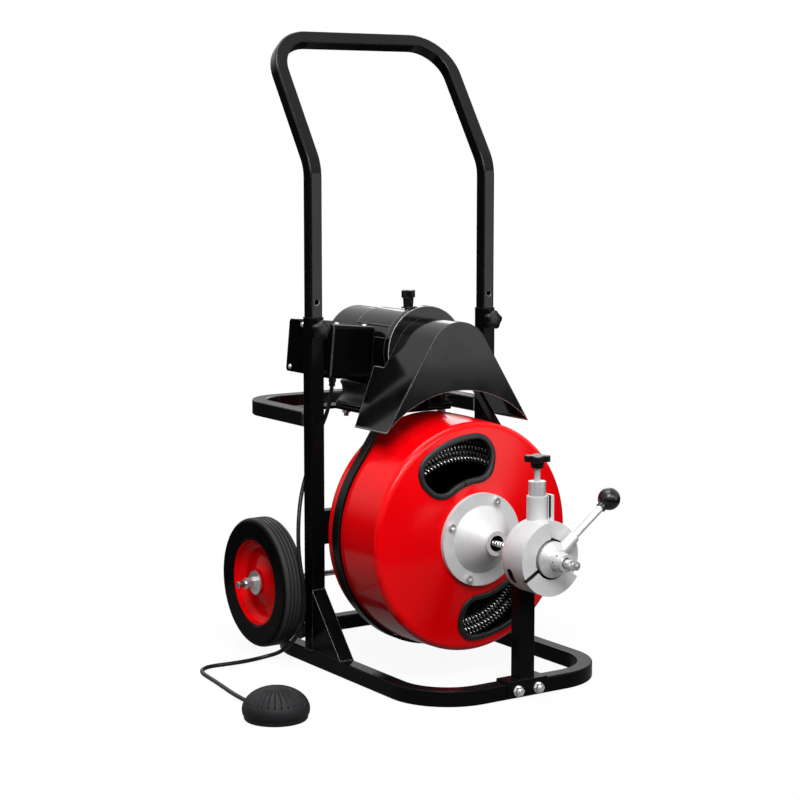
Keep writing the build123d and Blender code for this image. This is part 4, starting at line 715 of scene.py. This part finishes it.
def clamp_grips():
    """The moulded five lobed grips of the two handle clamps."""
    profile = [
        (0.0166, 0.0090, 0.0), (0.0188, 0.0094, 0.1), (0.0196, 0.0130, 0.8), (0.0206, 0.0143, 1.0),
        (0.0225, 0.0150, 1.0), (0.0262, 0.0151, 1.0), (0.0280, 0.0146, 1.0), (0.0291, 0.0134, 0.9),
        (0.0298, 0.0114, 0.7), (0.0302, 0.0088, 0.4), (0.0304, 0.0060, 0.2), (0.0305, 0.0030, 0.0),
        (0.0305, 0.0004, 0.0),
    ]
    for name, side in (("left", -1), ("right", 1)):
        points, faces = [], []
        base = (side * UPRIGHT_X, UPRIGHT_Y, CLAMP_Z)
        lathe(points, faces, base, (0, -1, 0), profile, count=90, lobes=5, depth=0.09)
        grip = mesh_piece(
            name + "_clamp_grip", points, faces, black_plastic, name + "_clamp", "black_plastic"
        )
        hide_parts(name + "_clamp_knob")


def dome_head(points, faces, base, axis):
    """A domed screw head with a cross recess."""
    head_r, rise_r, rise_height = 0.0045, 0.00452, 0.00306
    recess_r, recess_half, recess_depth = 0.0026, 0.0006, 0.0011
    axis = Vector(axis).normalized()
    one = Vector((0, 1, 0))
    other = axis.cross(one)
    ring_count, count = 22, 64
    rings = []
    for i in range(ring_count):
        radius = head_r * (1 - i / (ring_count - 0.5))
        rise = rise_height * math.sqrt(max(0.0, 1 - (radius / rise_r) ** 2))
        ring = []
        for j in range(count):
            turn = 2 * math.pi * j / count
            u, v = radius * math.cos(turn), radius * math.sin(turn)
            arm = 0.0
            if radius < recess_r:
                arm = max(0.0, 1 - (min(abs(u), abs(v)) / recess_half) ** 4)
            ring.append(base + one * u + other * v + axis * (rise - recess_depth * arm))
        rings.append(ring)
    skin(points, faces, rings)


def box_fasteners():
    """The screws of the control box. Those at the front of the lid are painted over."""
    tilt, seat = math.radians(5.5), 0.00147
    lid = Vector((-math.cos(tilt), 0, math.sin(tilt)))
    top = Vector((math.sin(tilt), 0, math.cos(tilt)))
    bright, dark = ([], []), ([], [])
    screws = [
        (bright, lid, (-0.1417, 0.2305, 0.4700)),
        (bright, lid, (-0.1348, 0.2015, 0.5407)),
        (bright, top, (-0.1186, 0.1248, 0.5449)),
        (bright, top, (-0.0664, 0.1248, 0.5399)),
        (dark, lid, (-0.1417, 0.1185, 0.4700)),
        (dark, lid, (-0.1348, 0.1475, 0.5407)),
    ]
    for group, axis, place in screws:
        dome_head(*group, Vector(place) + axis * seat, axis)
    piece = mesh_piece("box_fasteners", *bright, zinc, "frame", "zinc")
    mesh_piece("painted_fasteners", *dark, black_paint, "frame", "black_paint")
    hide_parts("box_screws")


def motor_feet():
    """The flared webs of the motor's cast feet, down to their toes."""
    root, start, length, sections, narrowing = 0.050, 0.035, 0.116, 8, 0.06
    outline = [
        (root, 0.411), (0.0745, 0.411), (0.0765, 0.4125), (0.0735, 0.4150), (0.0690, 0.4185),
        (0.0655, 0.4235), (0.0640, 0.4300), (0.0650, 0.4370), (0.0690, 0.4440), (0.0660, 0.4475),
        (root, 0.4475),
    ]
    points, faces = [], []
    for side in (-1, 1):
        corners = outline if side < 0 else outline[::-1]
        rings = []
        for i in range(sections + 1):
            share = i / sections
            y = forward(start - length * share)
            width = 1.0 - narrowing * (2 * share - 1) ** 4
            rings.append([Vector((side * (root + (x - root) * width), y, z)) for x, z in corners])
        skin(points, faces, rings)
    mesh_piece("foot_webs", points, faces, foot_grey, "frame", "black_paint")


def nose_details():
    """The black ring in the gap round the lever's hub, and the set screw of the nose."""
    section = [
        (0.3945, 0.0277), (0.4010, 0.0277), (0.4022, 0.0290), (0.4010, 0.0303), (0.3945, 0.0303),
    ]
    ring = round_profile((along - UPRIGHT_Y, radius) for along, radius in section)
    points, faces = [], []
    lathe(points, faces, (0, 0, AXIS_Z), (0, -1, 0), ring, count=96, closed=True)
    mesh_piece("nose_ring", points, faces, near_black_finish, "frame", "trim_rubber")
    screw = round_profile([
        (0.0132, 0.0018), (0.0147, 0.0018), (0.0148, 0.0016), (0.0148, 0.0011), (0.0139, 0.0009),
        (0.0138, 0.0001),
    ])
    screw_turn, screw_place = math.radians(48), 0.4275
    way = (-math.cos(screw_turn), 0, math.sin(screw_turn))
    points, faces = [], []
    lathe(points, faces, (0, forward(screw_place), AXIS_Z), way, screw, count=24)
    mesh_piece("nose_set_screw", points, faces, near_black_finish, "frame", "steel")


# Foot pedal and its hose

def pedal_foot():
    """The round base of the pedal, tucked under its dome, with the spout for its hose."""
    outline = round_profile([
        (0.0002, 0.0440), (0.0006, 0.0456), (0.0020, 0.0468), (0.0045, 0.0474), (0.0090, 0.0476),
        (0.0138, 0.0476), (0.0145, 0.0470), (0.0145, 0.0002),
    ])
    spout = round_profile([
        (0.0, 0.0046), (0.0120, 0.0046), (0.0128, 0.0052), (0.0143, 0.0046), (0.0145, 0.0034),
    ])
    spout_base = (PEDAL_X, PEDAL_Y + 0.0460, SPOUT_Z)
    points, faces = [], []
    lathe(points, faces, (PEDAL_X, PEDAL_Y, 0), (0, 0, 1), outline, count=128)
    lathe(points, faces, spout_base, (0, 1, 0), spout, count=32)
    piece = mesh_piece("pedal_foot", points, faces, pedal_rubber, "frame", "pedal_rubber")
    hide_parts("pedal_base")
    return piece


def groove_depth(turn, radius):
    """How deep a groove of the pedal, or the dimple at its end, is at a place of the dome."""
    grooves, groove_start, groove_end, run_in = 28, 0.013, 0.0462, 0.002
    groove_half, groove_deepest = 0.0010, 0.0017
    dimple_half, dimple_deepest, stretch = 0.0017, 0.0024, 1.7
    across = abs(turn * grooves / (2 * math.pi) % 1.0 - 0.5) * 2 * math.pi * radius / grooves
    groove = 0.0
    if groove_start < radius < groove_end:
        groove = groove_deepest * max(0.0, 1 - (across / groove_half) ** 2)
        groove *= min(1.0, (radius - groove_start) / run_in)
    away = math.hypot(across, stretch * (radius - groove_end))
    return max(groove, dimple_deepest * max(0.0, 1 - (away / dimple_half) ** 2))


def pedal_top():
    """The hollow rubber dome of the pedal, with moulded grooves that end in small dimples.

    Its skirt slides down outside the base, and is notched above the hose's spout.
    """
    widest, hem, waist, top = 0.0500, 0.0090, 0.0150, 0.0485
    tip, count, up = 0.0004, 560, 64
    notch_top, notch_height, notch_half, notch_slope = 0.0230, 0.0100, 0.23, 0.09
    inside = [(tip, 0.0235), (0.0470, 0.0235)]
    skirt = [
        (0.0481, 0.0225), (0.0482, 0.0100), (0.0484, hem), (0.0488, hem), (0.0493, 0.0096),
        (0.0498, 0.0120),
    ]
    angles = [math.pi / 2 * i / up for i in range(up + 1)]
    dome = [
        (max(widest * math.cos(a), tip), waist + (top - waist) * math.sin(a)) for a in angles
    ]
    first_dome = len(inside) + len(skirt)
    rings = []
    for place, (radius, height) in enumerate(inside + skirt + dome):
        level = max(height - waist, 0.0) / (top - waist) ** 2 + 1e-6
        slope = math.atan2(radius / widest**2, level)
        ring = []
        for j in range(count):
            turn = 2 * math.pi * j / count
            cut = groove_depth(turn, radius) if place >= first_dome else 0.0
            reach = radius - cut * math.sin(slope)
            z = height - cut * math.cos(slope)
            if place >= len(inside) and height < notch_top:
                lift = (notch_half - abs(turn - math.pi / 2)) / notch_slope
                lift = notch_height * min(1.0, max(0.0, lift))
                z += lift * (notch_top - height) / (notch_top - hem)
            x, y = reach * math.cos(turn), reach * math.sin(turn)
            ring.append(Vector((PEDAL_X + x, PEDAL_Y + y, z)))
        rings.append(ring)
    points, faces = [], []
    skin(points, faces, rings)
    piece = mesh_piece("pedal_top", points, faces, pedal_rubber, "pedal_button", "pedal_rubber")
    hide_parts("pedal_dome")
    return piece


def foot_hose(foot, dome):
    """The pedal's air hose, from the gland of the box down to the floor and round to the spout."""
    curve = bpy.data.curves.new("foot_hose", "CURVE")
    curve.dimensions = "3D"
    curve.resolution_u = 24
    spline = curve.splines.new("NURBS")
    spline.points.add(len(HOSE_ROUTE) - 1)
    for point, place in zip(spline.points, HOSE_ROUTE):
        point.co = (*place, 1.0)
    spline.order_u = 3
    spline.use_endpoint_u = True
    curve.bevel_depth = HOSE_R
    curve.bevel_resolution = 6
    curve.use_fill_caps = True
    curve.materials.append(hose_rubber)
    hose = bpy.data.objects.new("foot_hose", curve)
    bpy.context.scene.collection.objects.link(hose)
    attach(hose, "frame")
    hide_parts("pedal_hose")


foot_hose(pedal_foot(), pedal_top())
stored_cable()
cable_spring()
window_edging()
weld_beads()
clamp_grips()
box_fasteners()
motor_feet()
nose_details()


# Stage, camera and light

def seen_rays(tree):
    """1 for rays from the camera, off gloss or through glass, which see the white stage."""
    path = add(tree, "LightPath")
    first = add(tree, "Math", operation="MAXIMUM")
    both = add(tree, "Math", operation="MAXIMUM")
    join(
        tree,
        (path.outputs["Is Camera Ray"], first.inputs[0]),
        (path.outputs["Is Glossy Ray"], first.inputs[1]),
        (first.outputs["Value"], both.inputs[0]),
        (path.outputs["Is Transmission Ray"], both.inputs[1]),
    )
    return both, path


def floor_material():
    """White that takes the object's shadow near it, faintly to the camera, and that is dim in what
    gloss shows."""
    material = bpy.data.materials.new("pale_floor")
    material.use_nodes = True
    tree = material.node_tree
    bsdf = tree.nodes["Principled BSDF"]
    bsdf.inputs["Roughness"].default_value = 0.9
    bsdf.inputs["Specular IOR Level"].default_value = 0.0
    white = add(tree, "Emission", {"Strength": 1.0})
    coords = add(tree, "TexCoord")
    away = add(tree, "VectorMath", operation="LENGTH")
    to_camera = between(tree, low=0.30, high=0.70, start=0.93, end=1.0)
    to_gloss = between(tree, low=0.34, high=0.78, start=0.22, end=0.34)
    level = add(tree, "Mix")
    tone = add(tree, "Mix", data_type="RGBA")
    tone.inputs["A"].default_value = (0.07, 0.07, 0.07, 1.0)
    tone.inputs["B"].default_value = (0.85, 0.85, 0.85, 1.0)
    share = add(tree, "Math", operation="MULTIPLY")
    mix = add(tree, "MixShader")
    seen, path = seen_rays(tree)
    join(
        tree,
        (path.outputs["Is Camera Ray"], tone.inputs["Factor"]),
        (tone.outputs["Result"], bsdf.inputs["Base Color"]),
        (coords.outputs["Object"], away.inputs[0]),
        (away.outputs["Value"], to_camera.inputs["Value"]),
        (away.outputs["Value"], to_gloss.inputs["Value"]),
        (path.outputs["Is Glossy Ray"], level.inputs["Factor"]),
        (to_camera.outputs["Result"], level.inputs["A"]),
        (to_gloss.outputs["Result"], level.inputs["B"]),
        (level.outputs["Result"], share.inputs[0]),
        (seen.outputs["Value"], share.inputs[1]),
        (share.outputs["Value"], mix.inputs["Fac"]),
        (bsdf.outputs["BSDF"], mix.inputs[1]),
        (white.outputs["Emission"], mix.inputs[2]),
        (mix.outputs["Shader"], tree.nodes["Material Output"].inputs["Surface"]),
    )
    return material


def pale_floor():
    """A plain round floor under the object."""
    count, reach, depth = 96, 0.80, 0.0006
    turns = [2 * math.pi * i / count for i in range(count)]
    mesh = bpy.data.meshes.new("floor")
    rim = [(reach * math.cos(t), reach * math.sin(t), 0) for t in turns]
    mesh.from_pydata(rim, [], [tuple(range(count))])
    floor = bpy.data.objects.new("floor", mesh)
    floor.location.z = -depth
    bpy.context.scene.collection.objects.link(floor)
    mesh.materials.append(floor_material())


def studio_world():
    """White behind and over the object, dimmer towards the floor in what gloss shows, soft fill."""
    world = bpy.data.worlds.new("studio")
    bpy.context.scene.world = world
    world.use_nodes = True
    tree = world.node_tree
    tree.nodes.clear()
    out = add(tree, "OutputWorld")
    mix = add(tree, "MixShader")
    white = add(tree, "Background", {"Color": (1.0, 1.0, 1.0, 1.0)})
    fill = add(tree, "Background", {"Color": (0.96, 0.98, 1.0, 1.0), "Strength": 0.045})
    coords = add(tree, "TexCoord")
    split = add(tree, "SeparateXYZ")
    rise = between(
        tree, low=0.02, high=0.30, start=0.03, end=1.0, interpolation_type="SMOOTHSTEP"
    )
    plain = add(tree, "Math", {0: 1.0}, operation="SUBTRACT")
    level = add(tree, "Math", operation="MAXIMUM")
    seen, path = seen_rays(tree)
    join(
        tree,
        (coords.outputs["Generated"], split.inputs["Vector"]),
        (split.outputs["Z"], rise.inputs["Value"]),
        (path.outputs["Is Glossy Ray"], plain.inputs[1]),
        (plain.outputs["Value"], level.inputs[0]),
        (rise.outputs["Result"], level.inputs[1]),
        (level.outputs["Value"], white.inputs["Strength"]),
        (seen.outputs["Value"], mix.inputs["Fac"]),
        (fill.outputs["Background"], mix.inputs[1]),
        (white.outputs["Background"], mix.inputs[2]),
        (mix.outputs["Shader"], out.inputs["Surface"]),
    )


def softbox(name, place, target, width, height, power):
    """A rectangular lamp that looks at a point."""
    data = bpy.data.lights.new(name, "AREA")
    data.shape = "RECTANGLE"
    data.size = width
    data.size_y = height
    data.energy = power
    light = bpy.data.objects.new(name, data)
    light.location = place
    aim = Vector(target) - Vector(place)
    light.rotation_euler = aim.to_track_quat("-Z", "Y").to_euler()
    bpy.context.scene.collection.objects.link(light)


def camera():
    """The photograph's own viewpoint."""
    data = bpy.data.cameras.new("camera")
    data.sensor_width = 36.0
    data.lens = 90.0
    data.clip_end = 100.0
    eye = bpy.data.objects.new("camera", data)
    eye.location = (-1.7899, -2.5871, 0.8414)
    yaw, pitch = math.radians(33.465), math.radians(7.461)
    eye.rotation_euler = (math.pi / 2 - pitch, 0.0, -yaw)
    bpy.context.scene.collection.objects.link(eye)
    bpy.context.scene.camera = eye


pale_floor()
studio_world()
camera()
middle = (0.0, 0.0, 0.40)
upper = (0.0, 0.0, 0.72)
softbox("key", (-1.5, -2.1, 2.8), middle, width=1.8, height=1.8, power=108.0)
softbox("front", (0.3, -3.0, 2.0), middle, width=1.4, height=1.0, power=30.0)
softbox("fill", (1.75, -2.55, 0.72), upper, width=1.1, height=1.2, power=11.0)
softbox("top", (-0.2, 0.1, 3.0), middle, width=1.8, height=1.8, power=56.0)
softbox("rim", (1.6, 2.0, 1.8), middle, width=1.0, height=1.8, power=12.0)
softbox("strip", (-2.6, 0.3, 0.40), middle, width=0.35, height=1.5, power=1.6)

bpy.context.scene.view_settings.view_transform = "Standard"
